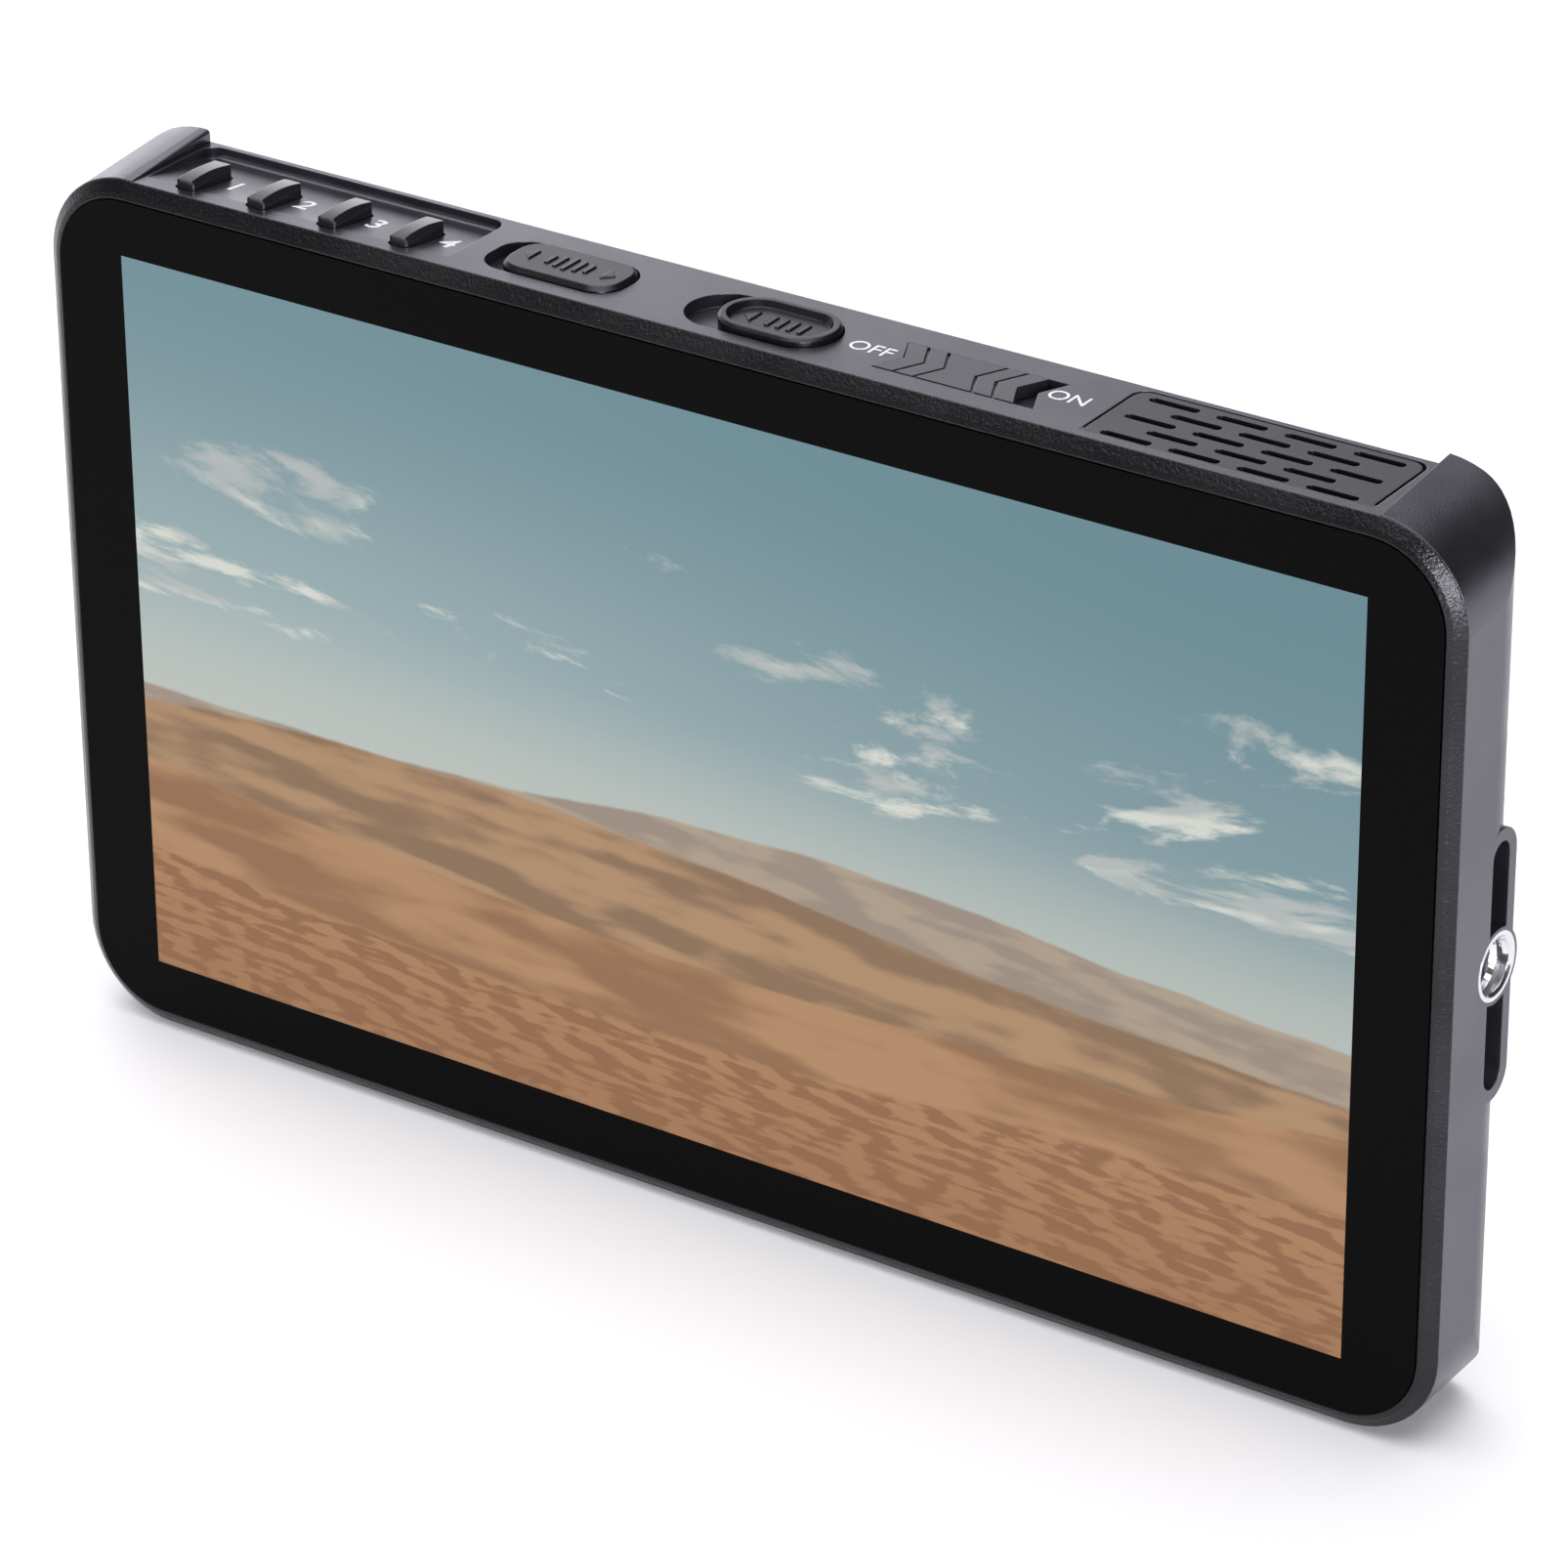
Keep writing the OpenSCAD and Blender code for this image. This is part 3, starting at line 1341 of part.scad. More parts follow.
module battery_plate() {
    rail_x = battery_w / 2 + 0.2;
    color([0.1, 0.1, 0.11]) placed() difference() {
        union() {
            front_prism(cover_y, plate_y)
                translate([0, (plate_z0 + plate_z1) / 2])
                    rounded_rect(plate_w, plate_z1 - plate_z0, 3);
            for (s = [-1, 1]) {
                front_prism(cover_y, plate_y + 1.2)
                    translate([s * (rail_x + hook_w / 2), (plate_z0 + plate_z1) / 2])
                        square([hook_w, plate_z1 - plate_z0 - 8], center = true);
                for (span = hooks_z)
                    plan_prism(span[0], span[1])
                        polygon([
                            [s * (rail_x + hook_w), cover_y + 1],
                            [s * (rail_x + hook_w), plate_y + hook_h],
                            [s * (rail_x - hook_reach), plate_y + hook_h],
                            [s * (rail_x - hook_reach), plate_y + hook_h - 1.1],
                            [s * rail_x, plate_y + hook_h - 1.1], [s * rail_x, cover_y + 1]
                        ]);
            }
        }
        latch_window(cover_y - eps, plate_y + eps);
        for (p = plate_screw_at) translate([p[0], 0, p[1]]) {
            pin_y(0.95, cover_y - eps, plate_y + eps);
            translate([0, plate_y - 0.9, 0]) rotate([-90, 0, 0])
                cylinder(r1 = 0.95, r2 = 1.95, h = 1);
        }
        for (x = contact_x) block(x - 0.7, x + 0.7, cover_y - eps, plate_y + eps,
                                  contact_z - 0.6, contact_z + 0.6);
    }
}

module plate_screws() {
    color([0.7, 0.7, 0.72]) placed()
        for (p = plate_screw_at) translate([p[0], 0, p[1]]) {
            pin_y(0.75, shell_d + 0.2, plate_y - 0.5);
            translate([0, plate_y - 0.88, 0]) rotate([-90, 0, 0])
                cylinder(r1 = 0.85, r2 = 1.7, h = 0.8);
        }
}

module contact_block() {
    color([0.07, 0.07, 0.08]) placed() difference() {
        front_prism(plate_y, plate_y + 2.8)
            translate([0, contact_z]) rounded_rect(20, 3.4, 0.6);
        for (x = contact_x) block(x - 0.6, x + 0.6, plate_y - eps, plate_y + 2, contact_z - 0.5,
                                  contact_z + 3);
    }
}

module battery_contacts() {
    color([0.85, 0.65, 0.3]) placed()
        for (x = contact_x) {
            block(x - 0.4, x + 0.4, shell_d - 1.2, plate_y + 1.9, contact_z - 0.3,
                  contact_z + 0.3);
            block(x - 0.4, x + 0.4, plate_y + 1.3, plate_y + 1.9, contact_z, contact_z + 4.6);
        }
}

module contact_board() {
    color([0.05, 0.28, 0.15]) placed() difference() {
        block(-10, 10, shell_d - 0.8, shell_d, contact_z - 0.7, contact_z + 7);
        for (x = contact_x) block(x - 0.45, x + 0.45, shell_d - 1, shell_d + eps,
                                  contact_z - 0.35, contact_z + 0.35);
    }
}

module battery_ribbon() {
    z0 = contact_z + 5;
    color([0.8, 0.5, 0.15]) placed() side_prism(-8, 8)
        polygon([
            [shell_d - 0.8, z0], [shell_d - 0.8, z0 + ribbon_t],
            [board_back + ribbon_t, z0 + ribbon_t], [board_back + ribbon_t, z0 + 4],
            [board_back, z0 + 4], [board_back, z0]
        ]);
}

front_frame();
cover_glass();
glass_gasket();
display_panel();
backlight();
panel_bracket();
bracket_screws();
main_housing();
vent_grille();
rear_cover();
cover_screws();
key_1();
key_2();
key_3();
key_4();
touch_slider();
release_slider();
power_slider();
release_keeper();
keeper_screws();
key_board();
key_switches();
touch_switch();
power_board();
power_switch();
switch_screws();
insulator_sheet();
main_board();
board_screws();
processor();
heat_sink();
hdmi_in();
hdmi_out();
usb_socket();
headphone_socket();
dc_socket();
display_ribbon();
key_ribbon();
power_ribbon();
side_insert();
bottom_insert();
battery_plate();
plate_screws();
contact_block();
battery_contacts();
contact_board();
battery_ribbon();
battery_latch();
latch_spring();
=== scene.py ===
import json
import math

import bmesh
import bpy
from mathutils import Matrix, Vector


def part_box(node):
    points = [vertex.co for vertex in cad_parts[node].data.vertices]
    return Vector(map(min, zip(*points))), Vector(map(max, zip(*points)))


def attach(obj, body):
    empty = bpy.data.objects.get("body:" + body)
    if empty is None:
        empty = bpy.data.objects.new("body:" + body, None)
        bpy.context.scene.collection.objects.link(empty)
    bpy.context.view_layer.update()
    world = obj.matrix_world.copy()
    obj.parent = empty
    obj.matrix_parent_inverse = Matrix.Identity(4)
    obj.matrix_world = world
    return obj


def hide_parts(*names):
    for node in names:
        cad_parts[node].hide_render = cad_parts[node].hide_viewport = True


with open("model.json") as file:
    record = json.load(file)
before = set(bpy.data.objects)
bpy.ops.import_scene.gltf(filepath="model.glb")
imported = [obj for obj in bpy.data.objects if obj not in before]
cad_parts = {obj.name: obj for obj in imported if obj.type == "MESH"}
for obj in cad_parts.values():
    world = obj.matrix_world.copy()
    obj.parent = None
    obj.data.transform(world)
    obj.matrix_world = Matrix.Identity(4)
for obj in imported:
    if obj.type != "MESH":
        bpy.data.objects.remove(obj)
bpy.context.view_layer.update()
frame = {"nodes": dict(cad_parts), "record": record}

MM = 0.001

# The places that the looks hang on, read from the frame
frame_low, frame_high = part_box("front_frame")
housing_low, housing_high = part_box("main_housing")
power_low, power_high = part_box("power_slider")
touch_low, touch_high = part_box("touch_slider")
release_low, release_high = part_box("release_slider")
panel_low, panel_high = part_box("display_panel")
DECK_Z = frame_high.z
CENTRE_Z = (frame_low.z + frame_high.z) / 2
PANEL_RIM = 2.4 * MM
SCREEN_W = panel_high.x - panel_low.x - 2 * PANEL_RIM
SCREEN_H = panel_high.z - panel_low.z - 2 * PANEL_RIM


# Camera, at the photograph's viewing angle
CAMERA_PLACE = Vector((322.03, -474.83, 338.41)) * MM
CAMERA_AHEAD = Vector((-0.49758, 0.73537, -0.46005))
CAMERA_UP = Vector((-0.25201, 0.38494, 0.88787))
CAMERA_LENS = 161.56
SENSOR_WIDTH = 36.0


def add_camera():
    data = bpy.data.cameras.new("camera")
    data.lens = CAMERA_LENS
    data.sensor_width = SENSOR_WIDTH
    data.clip_start = 0.01
    data.clip_end = 20
    camera = bpy.data.objects.new("camera", data)
    bpy.context.scene.collection.objects.link(camera)
    back = -CAMERA_AHEAD.normalized()
    right = CAMERA_UP.cross(back).normalized()
    up = back.cross(right)
    turn = Matrix((right, up, back)).transposed()
    camera.matrix_world = Matrix.Translation(CAMERA_PLACE) @ turn.to_4x4()
    bpy.context.scene.camera = camera


# Light: a dark room with a lit wall and a narrow rim light at the back left, a softbox
# overhead, a small strong one at the right front and a dim one at the left front

ROOM = 0.05
LIGHT_COLOUR = (0.97, 0.97, 1.0, 1)
SOFTBOXES = {
    "wall": ((-0.85, 0.5, 0.2), 34, 50, 0.62),
    "rim": ((-0.76, 0.63, 0.2), 10, 26, 1.7),
    "overhead": ((-0.05, 0.0, 1.0), 26, 38, 3.5),
    "side": ((0.62, -0.75, 0.24), 8, 14, 26),
    "front": ((-0.55, -0.8, 0.25), 10, 45, 0.3),
}


def add_world():
    """A softbox is a direction, the angles where it is full and where it ends, and a strength."""
    world = bpy.data.worlds.new("studio")
    world.use_nodes = True
    tree = world.node_tree
    toward = tree.nodes.new("ShaderNodeTexCoord").outputs["Generated"]
    total = ROOM
    for middle, full, end, strength in SOFTBOXES.values():
        dot = tree.nodes.new("ShaderNodeVectorMath")
        dot.operation = "DOT_PRODUCT"
        dot.inputs[1].default_value = Vector(middle).normalized()
        tree.links.new(toward, dot.inputs[0])
        edge = tree.nodes.new("ShaderNodeMapRange")
        edge.interpolation_type = "SMOOTHSTEP"
        edge.inputs["From Min"].default_value = math.cos(math.radians(end))
        edge.inputs["From Max"].default_value = math.cos(math.radians(full))
        edge.inputs["To Max"].default_value = strength
        tree.links.new(dot.outputs["Value"], edge.inputs["Value"])
        add = tree.nodes.new("ShaderNodeMath")
        tree.links.new(edge.outputs["Result"], add.inputs[0])
        if isinstance(total, float):
            add.inputs[1].default_value = total
        else:
            tree.links.new(total, add.inputs[1])
        total = add.outputs[0]
    background = tree.nodes["Background"]
    background.inputs["Color"].default_value = LIGHT_COLOUR
    tree.links.new(total, background.inputs["Strength"])
    bpy.context.scene.world = world
    bpy.context.scene.view_settings.view_transform = "Standard"


FLOOR_SIZE = 12
FLOOR_DROP = 0.2 * MM
FLOOR_COLOUR = (0.88, 0.88, 0.89, 1)


def add_floor():
    bpy.ops.mesh.primitive_plane_add(size=FLOOR_SIZE, location=(0, 0, -FLOOR_DROP))
    floor = bpy.context.object
    floor.name = "floor"
    mat = bpy.data.materials.new("floor")
    mat.use_nodes = True
    shader = mat.node_tree.nodes["Principled BSDF"]
    shader.inputs["Base Color"].default_value = FLOOR_COLOUR
    shader.inputs["Roughness"].default_value = 0.6
    shader.inputs["Specular IOR Level"].default_value = 0.2
    floor.data.materials.append(mat)


# Node building

class Tree:
    """A material's node tree with short calls for the nodes that the materials share."""

    def __init__(self, name):
        self.material = bpy.data.materials.new(name)
        self.material.use_nodes = True
        self.tree = self.material.node_tree
        self.shader = self.tree.nodes["Principled BSDF"]

    def set(self, **values):
        for name, value in values.items():
            self.shader.inputs[name.replace("_", " ")].default_value = value

    def node(self, kind, inputs=None, **settings):
        made = self.tree.nodes.new(kind)
        for name, value in settings.items():
            setattr(made, name, value)
        for key, value in (inputs or {}).items():
            self.feed(made.inputs[key], value)
        return made

    def feed(self, socket, value):
        if isinstance(value, bpy.types.NodeSocket):
            self.tree.links.new(value, socket)
        else:
            socket.default_value = value

    def place(self, scale=(1, 1, 1)):
        """Object coordinates in millimetres, stretched by a scale."""
        coords = self.node("ShaderNodeTexCoord").outputs["Object"]
        factor = [s / MM for s in scale]
        mapping = self.node("ShaderNodeMapping", {"Vector": coords})
        mapping.inputs["Scale"].default_value = factor
        return mapping.outputs["Vector"]

    def noise(self, vector, scale, detail=2.0, roughness=0.5, distortion=0.0):
        return self.node("ShaderNodeTexNoise", {
            "Vector": vector, "Scale": scale, "Detail": detail, "Roughness": roughness,
            "Distortion": distortion}).outputs["Fac"]

    def math(self, operation, a, b=0.0, c=0.0):
        made = self.node("ShaderNodeMath", operation=operation)
        self.feed(made.inputs[0], a)
        self.feed(made.inputs[1], b)
        if len(made.inputs) > 2:
            self.feed(made.inputs[2], c)
        return made.outputs[0]

    def ramp(self, value, low, high, to_low=0.0, to_high=1.0):
        made = self.node("ShaderNodeMapRange", {
            "Value": value, "From Min": low, "From Max": high, "To Min": to_low,
            "To Max": to_high}, interpolation_type="SMOOTHSTEP")
        return made.outputs["Result"]

    def mix(self, factor, a, b):
        made = self.node("ShaderNodeMix", data_type="RGBA")
        self.feed(made.inputs["Factor"], factor)
        self.feed(made.inputs[6], a if isinstance(a, bpy.types.NodeSocket) else (*a, 1))
        self.feed(made.inputs[7], b if isinstance(b, bpy.types.NodeSocket) else (*b, 1))
        return made.outputs[2]

    def bump(self, height, distance_mm, strength=1.0, normal=None):
        made = self.node("ShaderNodeBump", {
            "Height": height, "Distance": distance_mm * MM, "Strength": strength})
        if normal is not None:
            self.feed(made.inputs["Normal"], normal)
        return made.outputs["Normal"]

    def rounded(self, radius_mm):
        made = self.node("ShaderNodeBevel", {"Radius": radius_mm * MM}, samples=6)
        return made.outputs["Normal"]

    def edges(self, rounded_normal):
        """1 along the edges that a bevel node rounds, 0 on the faces between them."""
        flat = self.node("ShaderNodeNewGeometry").outputs["Normal"]
        same = self.node("ShaderNodeVectorMath", operation="DOT_PRODUCT")
        self.feed(same.inputs[0], flat)
        self.feed(same.inputs[1], rounded_normal)
        return self.ramp(same.outputs["Value"], EDGE_START, EDGE_FULL)


# Cosines of the turn at which a rounded edge starts to show its painted highlight, and where that
# highlight is lightest
EDGE_START = 0.995
EDGE_FULL = 0.93
CLOUDING_SCALE = 0.06
GRAIN_STRENGTH = 0.8
ROUGH_SPREAD = 0.06


def grained(name, colour, roughness, grain_mm, depth_mm, spread=0.15, round_mm=0.0,
            metallic=0.0, edge=1.0):
    """A moulded or blasted surface: grain, slight clouding and softened edges.

    Where the edges are rounded, they can also be painted lighter: a painted highlight along the
    edges, standing in for the light that they catch.
    """
    t = Tree(name)
    t.set(Metallic=metallic)
    place = t.place()
    grain = t.noise(place, 1.0 / grain_mm, 3.0, 0.6)
    cloud = t.noise(place, CLOUDING_SCALE, 3.0, 0.6)
    dark = tuple(c * (1 - spread) for c in colour)
    light = tuple(min(1, c * (1 + spread)) for c in colour)
    tone = t.mix(cloud, dark, light)
    normal = None
    if round_mm:
        normal = t.rounded(round_mm)
        # Painted highlight: the rounded edges get a colour made lighter by the edge factor
        tone = t.mix(t.edges(normal), tone, tuple(min(1, c * edge) for c in colour))
    t.feed(t.shader.inputs["Base Color"], tone)
    rough = t.ramp(cloud, 0.3, 0.7, roughness - ROUGH_SPREAD, roughness + ROUGH_SPREAD)
    t.feed(t.shader.inputs["Roughness"], rough)
    t.feed(t.shader.inputs["Normal"], t.bump(grain, depth_mm, GRAIN_STRENGTH, normal))
    return t.material


# Screen picture: a made-up landscape of rolling hills and a plain under small clouds.
# It is laid out in u, from -0.5 at the left to 0.5 at the right, and v, from 0 to 1 upwards.

SKY_LOW = (0.36, 0.46, 0.47)
SKY_HIGH = (0.175, 0.285, 0.325)
SKY_RIGHT = (0.115, 0.225, 0.275)
HAZE = (0.54, 0.56, 0.51)
CLOUD_SHADE = (0.47, 0.5, 0.49)
CLOUD_LIT = (0.7, 0.71, 0.64)
CLOUD_SCALE = 7.5
CLOUD_THICKNESS = 0.9
CLOUD_PLACE = (3.7, 0.4)
FIELD_PLACE = (8.2, 2.6)
SHEET_EYE = 0.2
SHEET_HEIGHT = 0.34
TUFT_SHADE = (0.3, 0.155, 0.082)
TUFT_LIT = (0.42, 0.235, 0.125)
PLAIN_FRONT = (0.27, 0.12, 0.06)
PLAIN_LINE = (0.165, 0.028, 4.6, 5.3, 1.7, 9.4)
GROUND_STRETCH = 2.6

# Hills from the far one to the near one: the relief's scale, step and place, the shaded
# and the lit colour, and the line of the top as ridge() takes it
HILLS = (
    (9.0, 0.02, 1.3, (0.33, 0.27, 0.22), (0.42, 0.34, 0.26), (0.425, 0.022, 6.1, 0.9, 5.0, 3.1)),
    (6.0, 0.03, 5.1, (0.27, 0.17, 0.105), (0.43, 0.27, 0.155), (0.375, 0.036, 4.4, 2.6, 3.6, 7.7)),
    (4.0, 0.04, 8.8, (0.3, 0.165, 0.09), (0.45, 0.26, 0.14), (0.29, 0.04, 3.4, 4.7, 2.2, 1.2)),
)


def picture_colour(t):
    place = t.node("ShaderNodeTexCoord").outputs["Object"]
    parts = t.node("ShaderNodeSeparateXYZ", {"Vector": place}).outputs
    u = t.math("DIVIDE", parts["X"], SCREEN_W)
    z = t.math("SUBTRACT", parts["Z"], CENTRE_Z)
    v = t.math("ADD", t.math("DIVIDE", z, SCREEN_H), 0.5)

    def point(x, y, shift=(0.0, 0.0)):
        x = t.math("ADD", x, shift[0])
        y = t.math("ADD", y, shift[1])
        return t.node("ShaderNodeCombineXYZ", {"X": x, "Y": y, "Z": 0.0}).outputs[0]

    def relief(x, y, scale, step, seed, low=-0.08, high=0.08):
        """Light and shade on rough ground: the rise of a noise from one point to the next."""
        here = t.noise(point(x, y, (seed, 0.0)), scale, 4.0, 0.42)
        there = t.noise(point(x, y, (seed + step, step)), scale, 4.0, 0.42)
        return t.ramp(t.math("SUBTRACT", here, there), low, high)

    def ridge(base, height, waves, phase, rough, seed):
        """Line of a hill's top: a base height, a slow wave and some noise."""
        swing = t.math("SINE", t.math("MULTIPLY_ADD", u, waves, phase))
        grit = t.math("SUBTRACT", t.noise(point(u, seed), rough, 6.0, 0.5), 0.5)
        top = t.math("MULTIPLY_ADD", swing, height, base)
        return t.math("MULTIPLY_ADD", grit, height * 1.6, top)

    def over(below, top, colour, soft=0.003):
        mask = t.ramp(t.math("SUBTRACT", top, v), -soft, soft)
        return t.mix(mask, below, colour)

    scene = t.mix(t.ramp(v, 0.45, 1.0), SKY_LOW, SKY_HIGH)
    scene = t.mix(t.ramp(u, -0.5, 0.5, 0.0, 0.5), scene, SKY_RIGHT)
    scene = t.mix(t.ramp(v, 0.62, 0.4, 0.0, 0.75), scene, HAZE)

    # Clouds lie on a level sheet overhead, so they shrink towards the horizon
    rise = t.math("MAXIMUM", t.math("SUBTRACT", v, SHEET_EYE), 0.05)
    depth = t.math("DIVIDE", SHEET_HEIGHT, rise)
    across = t.math("MULTIPLY", u, depth)
    deep = t.math("MULTIPLY", depth, 0.75)
    heap = t.noise(point(across, deep, CLOUD_PLACE), CLOUD_SCALE, 8.0, 0.62, 0.3)
    field = t.noise(point(u, v, FIELD_PLACE), 2.6, 2.0, 0.5)
    band = t.math("MULTIPLY", t.ramp(v, 0.46, 0.56), t.ramp(v, 0.93, 0.78))
    amount = t.math("MULTIPLY", t.math("MULTIPLY_ADD", field, 0.5, heap), band)
    cloud = t.ramp(amount, 0.755, 0.85)
    lit = relief(across, deep, CLOUD_SCALE, -0.02, CLOUD_PLACE[0], -0.05, 0.06)
    puff = t.mix(lit, CLOUD_SHADE, CLOUD_LIT)
    scene = t.mix(t.math("MULTIPLY", cloud, CLOUD_THICKNESS), scene, puff)

    ground = t.math("MULTIPLY", v, GROUND_STRETCH)
    for scale, step, seed, shade, light, line in HILLS:
        tone = t.mix(relief(u, ground, scale, step, seed), shade, light)
        scene = over(scene, ridge(*line), tone)
    tufts = relief(u, ground, 22.0, 0.012, 2.2, -0.06, 0.06)
    plain = t.mix(tufts, TUFT_SHADE, TUFT_LIT)
    plain = t.mix(t.ramp(v, 0.2, -0.02, 0.0, 0.35), plain, PLAIN_FRONT)
    return over(scene, ridge(*PLAIN_LINE), plain, 0.006), u, v


BORDER_BLACK = (0.0015, 0.0015, 0.0016)
PANEL_BLACK = (0.003, 0.003, 0.0035)


def screen_material():
    t = Tree("cover_glass")
    picture, u, v = picture_colour(t)
    edge_u = t.math("LESS_THAN", t.math("ABSOLUTE", u), 0.5)
    edge_v = t.math("LESS_THAN", t.math("ABSOLUTE", t.math("SUBTRACT", v, 0.5)), 0.5)
    inside = t.math("MULTIPLY", edge_u, edge_v)
    t.feed(t.shader.inputs["Base Color"], t.mix(inside, BORDER_BLACK, PANEL_BLACK))
    t.feed(t.shader.inputs["Emission Color"], t.mix(inside, (0, 0, 0), picture))
    t.set(Emission_Strength=1.0, Roughness=0.08, Specular_IOR_Level=0.04)
    return t.material


def metal(name, colour, roughness, turned=False):
    t = Tree(name)
    t.set(Metallic=1.0)
    place = t.place()
    streak = t.place((6, 0.4, 0.4)) if turned else t.place((0.5, 5, 0.5))
    lines = t.noise(streak, 3.0, 3.0, 0.6)
    t.feed(t.shader.inputs["Base Color"],
           t.mix(lines, tuple(c * 0.85 for c in colour), colour))
    t.feed(t.shader.inputs["Roughness"], t.ramp(lines, 0.3, 0.7, roughness - 0.06,
                                                roughness + 0.1))
    t.feed(t.shader.inputs["Normal"], t.bump(t.noise(place, 6.0, 2.0), 0.004, 0.5,
                                             t.rounded(0.06)))
    return t.material


def printed():
    t = Tree("print")
    place = t.place()
    wear = t.noise(place, 5.0, 3.0, 0.7)
    t.feed(t.shader.inputs["Base Color"],
           t.mix(t.ramp(wear, 0.3, 0.75), (0.6, 0.6, 0.64), (0.85, 0.85, 0.88)))
    t.set(Roughness=0.5)
    return t.material


# Each edge factor paints a highlight on the rounded edges: a lighter colour that stands in for the
# light they catch
MATERIALS = {
    "housing_plastic": grained("housing_plastic", (0.113, 0.111, 0.13), 0.33, 0.2, 0.03,
                               spread=0.06, round_mm=0.14, metallic=0.95, edge=1.25),
    "frame_metal": grained("frame_metal", (0.036, 0.036, 0.039), 0.25, 0.3, 0.1,
                           spread=0.35, round_mm=0.09, metallic=0.95, edge=1.7),
    "grille_plastic": grained("grille_plastic", (0.07, 0.07, 0.079), 0.36, 0.18, 0.02,
                              spread=0.06, round_mm=0.09, metallic=0.95, edge=1.4),
    "key_plastic": grained("key_plastic", (0.062, 0.062, 0.07), 0.22, 0.3, 0.006,
                           round_mm=0.16, metallic=0.85, edge=1.8),
    "slider_plastic": grained("slider_plastic", (0.031, 0.032, 0.035), 0.28, 0.25, 0.01,
                              round_mm=0.16, metallic=0.88, edge=1.5),
    "power_plastic": grained("power_plastic", (0.094, 0.094, 0.107), 0.36, 0.22, 0.02,
                             round_mm=0.08, metallic=0.92, edge=1.3),
    "plate_plastic": grained("plate_plastic", (0.02, 0.02, 0.022), 0.55, 0.2, 0.014,
                             round_mm=0.15),
    "latch_plastic": grained("latch_plastic", (0.1, 0.1, 0.105), 0.42, 0.25, 0.006,
                             round_mm=0.15),
    "chip_black": grained("chip_black", (0.014, 0.014, 0.015), 0.5, 0.2, 0.008),
    "board_green": grained("board_green", (0.015, 0.1, 0.05), 0.38, 1.5, 0.01),
    "gasket_foam": grained("gasket_foam", (0.02, 0.02, 0.02), 0.85, 0.3, 0.03),
    "backlight_white": grained("backlight_white", (0.75, 0.75, 0.75), 0.6, 1.0, 0.005),
    "panel_glass": grained("panel_glass", (0.03, 0.04, 0.045), 0.15, 1.0, 0.001),
    "ribbon_film": grained("ribbon_film", (0.42, 0.2, 0.04), 0.3, 0.8, 0.004),
    "insulator": grained("insulator", (0.6, 0.55, 0.2), 0.4, 0.8, 0.004),
    "steel_bright": metal("steel_bright", (0.78, 0.78, 0.8), 0.16, turned=True),
    "screw_black": metal("screw_black", (0.06, 0.06, 0.065), 0.35),
    "screw_steel": metal("screw_steel", (0.6, 0.6, 0.62), 0.3),
    "sheet_steel": metal("sheet_steel", (0.6, 0.61, 0.62), 0.32),
    "socket_steel": metal("socket_steel", (0.66, 0.65, 0.64), 0.26),
    "spring_wire": metal("spring_wire", (0.66, 0.66, 0.68), 0.25),
    "contact_brass": metal("contact_brass", (0.83, 0.6, 0.26), 0.24),
    "heat_sink": metal("heat_sink", (0.7, 0.71, 0.73), 0.35),
    "cover_glass": screen_material(),
}


def dress_nodes():
    slot_of = {s["node"]: s["material_slot"] for s in frame["record"]["subparts"]}
    for name, piece in frame["nodes"].items():
        piece.data.materials.clear()
        piece.data.materials.append(MATERIALS[slot_of[name]])


# Pieces that the scene adds

def add_mesh(name, points, faces, body, slot):
    data = bpy.data.meshes.new(name)
    data.from_pydata(points, [], faces)
    piece = bpy.data.objects.new(name, data)
    bpy.context.scene.collection.objects.link(piece)
    piece.data.materials.append(MATERIALS[slot])
    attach(piece, body)
    return piece


def prism(outline, z0, z1, shrink=0.0):
    """Points and faces of an upright prism whose top is drawn in towards its middle."""
    n = len(outline)
    middle = (sum(p[0] for p in outline) / n, sum(p[1] for p in outline) / n)
    points = [(x, y, z0) for x, y in outline]
    points += [(x + (middle[0] - x) * shrink, y + (middle[1] - y) * shrink, z1)
               for x, y in outline]
    faces = [tuple(range(n))[::-1], tuple(range(n, 2 * n))]
    faces += [(i, (i + 1) % n, n + (i + 1) % n, n + i) for i in range(n)]
    return points, faces


def joined(shapes):
    points, faces = [], []
    for some_points, some_faces in shapes:
        start = len(points)
        points += some_points
        faces += [tuple(start + i for i in face) for face in some_faces]
    return points, faces


# Raised grip ribs with an arrowhead at both ends on the lock cap and at one in the dish
RIB_W = 0.42 * MM
RIB_H = 0.13 * MM
RIB_TAPER = 0.12
ARROW_TAPER = 0.1
POCKET_Y = housing_low.y + 5.45 * MM
TOUCH_RIBS = 5
TOUCH_RIB_PITCH = 1.05 * MM
TOUCH_RIB_HALF = 1.5 * MM
TOUCH_RIB_FALL = 0.28 * MM
TOUCH_ARROW_X = 3.9 * MM
TOUCH_ARROW = 1.1 * MM
DISH_DEPTH = 0.6 * MM
DISH_RIBS = 4
DISH_RIB_PITCH = 1.15 * MM
DISH_RIB_START = 0.9 * MM
DISH_RIB_HALF = 1.1 * MM
DISH_ARROW_X = 2.6 * MM
DISH_ARROW = 1.2 * MM


def rib(x, y, half_length, z):
    outline = [(x - RIB_W / 2, y - half_length), (x + RIB_W / 2, y - half_length),
               (x + RIB_W / 2, y + half_length), (x - RIB_W / 2, y + half_length)]
    return prism(outline, z - RIB_H, z + RIB_H, RIB_TAPER)


def arrowhead(x, y, size, way, z):
    outline = [(x + way * size, y), (x, y + size), (x, y - size)]
    return prism(outline[::way], z - RIB_H, z + RIB_H, ARROW_TAPER)


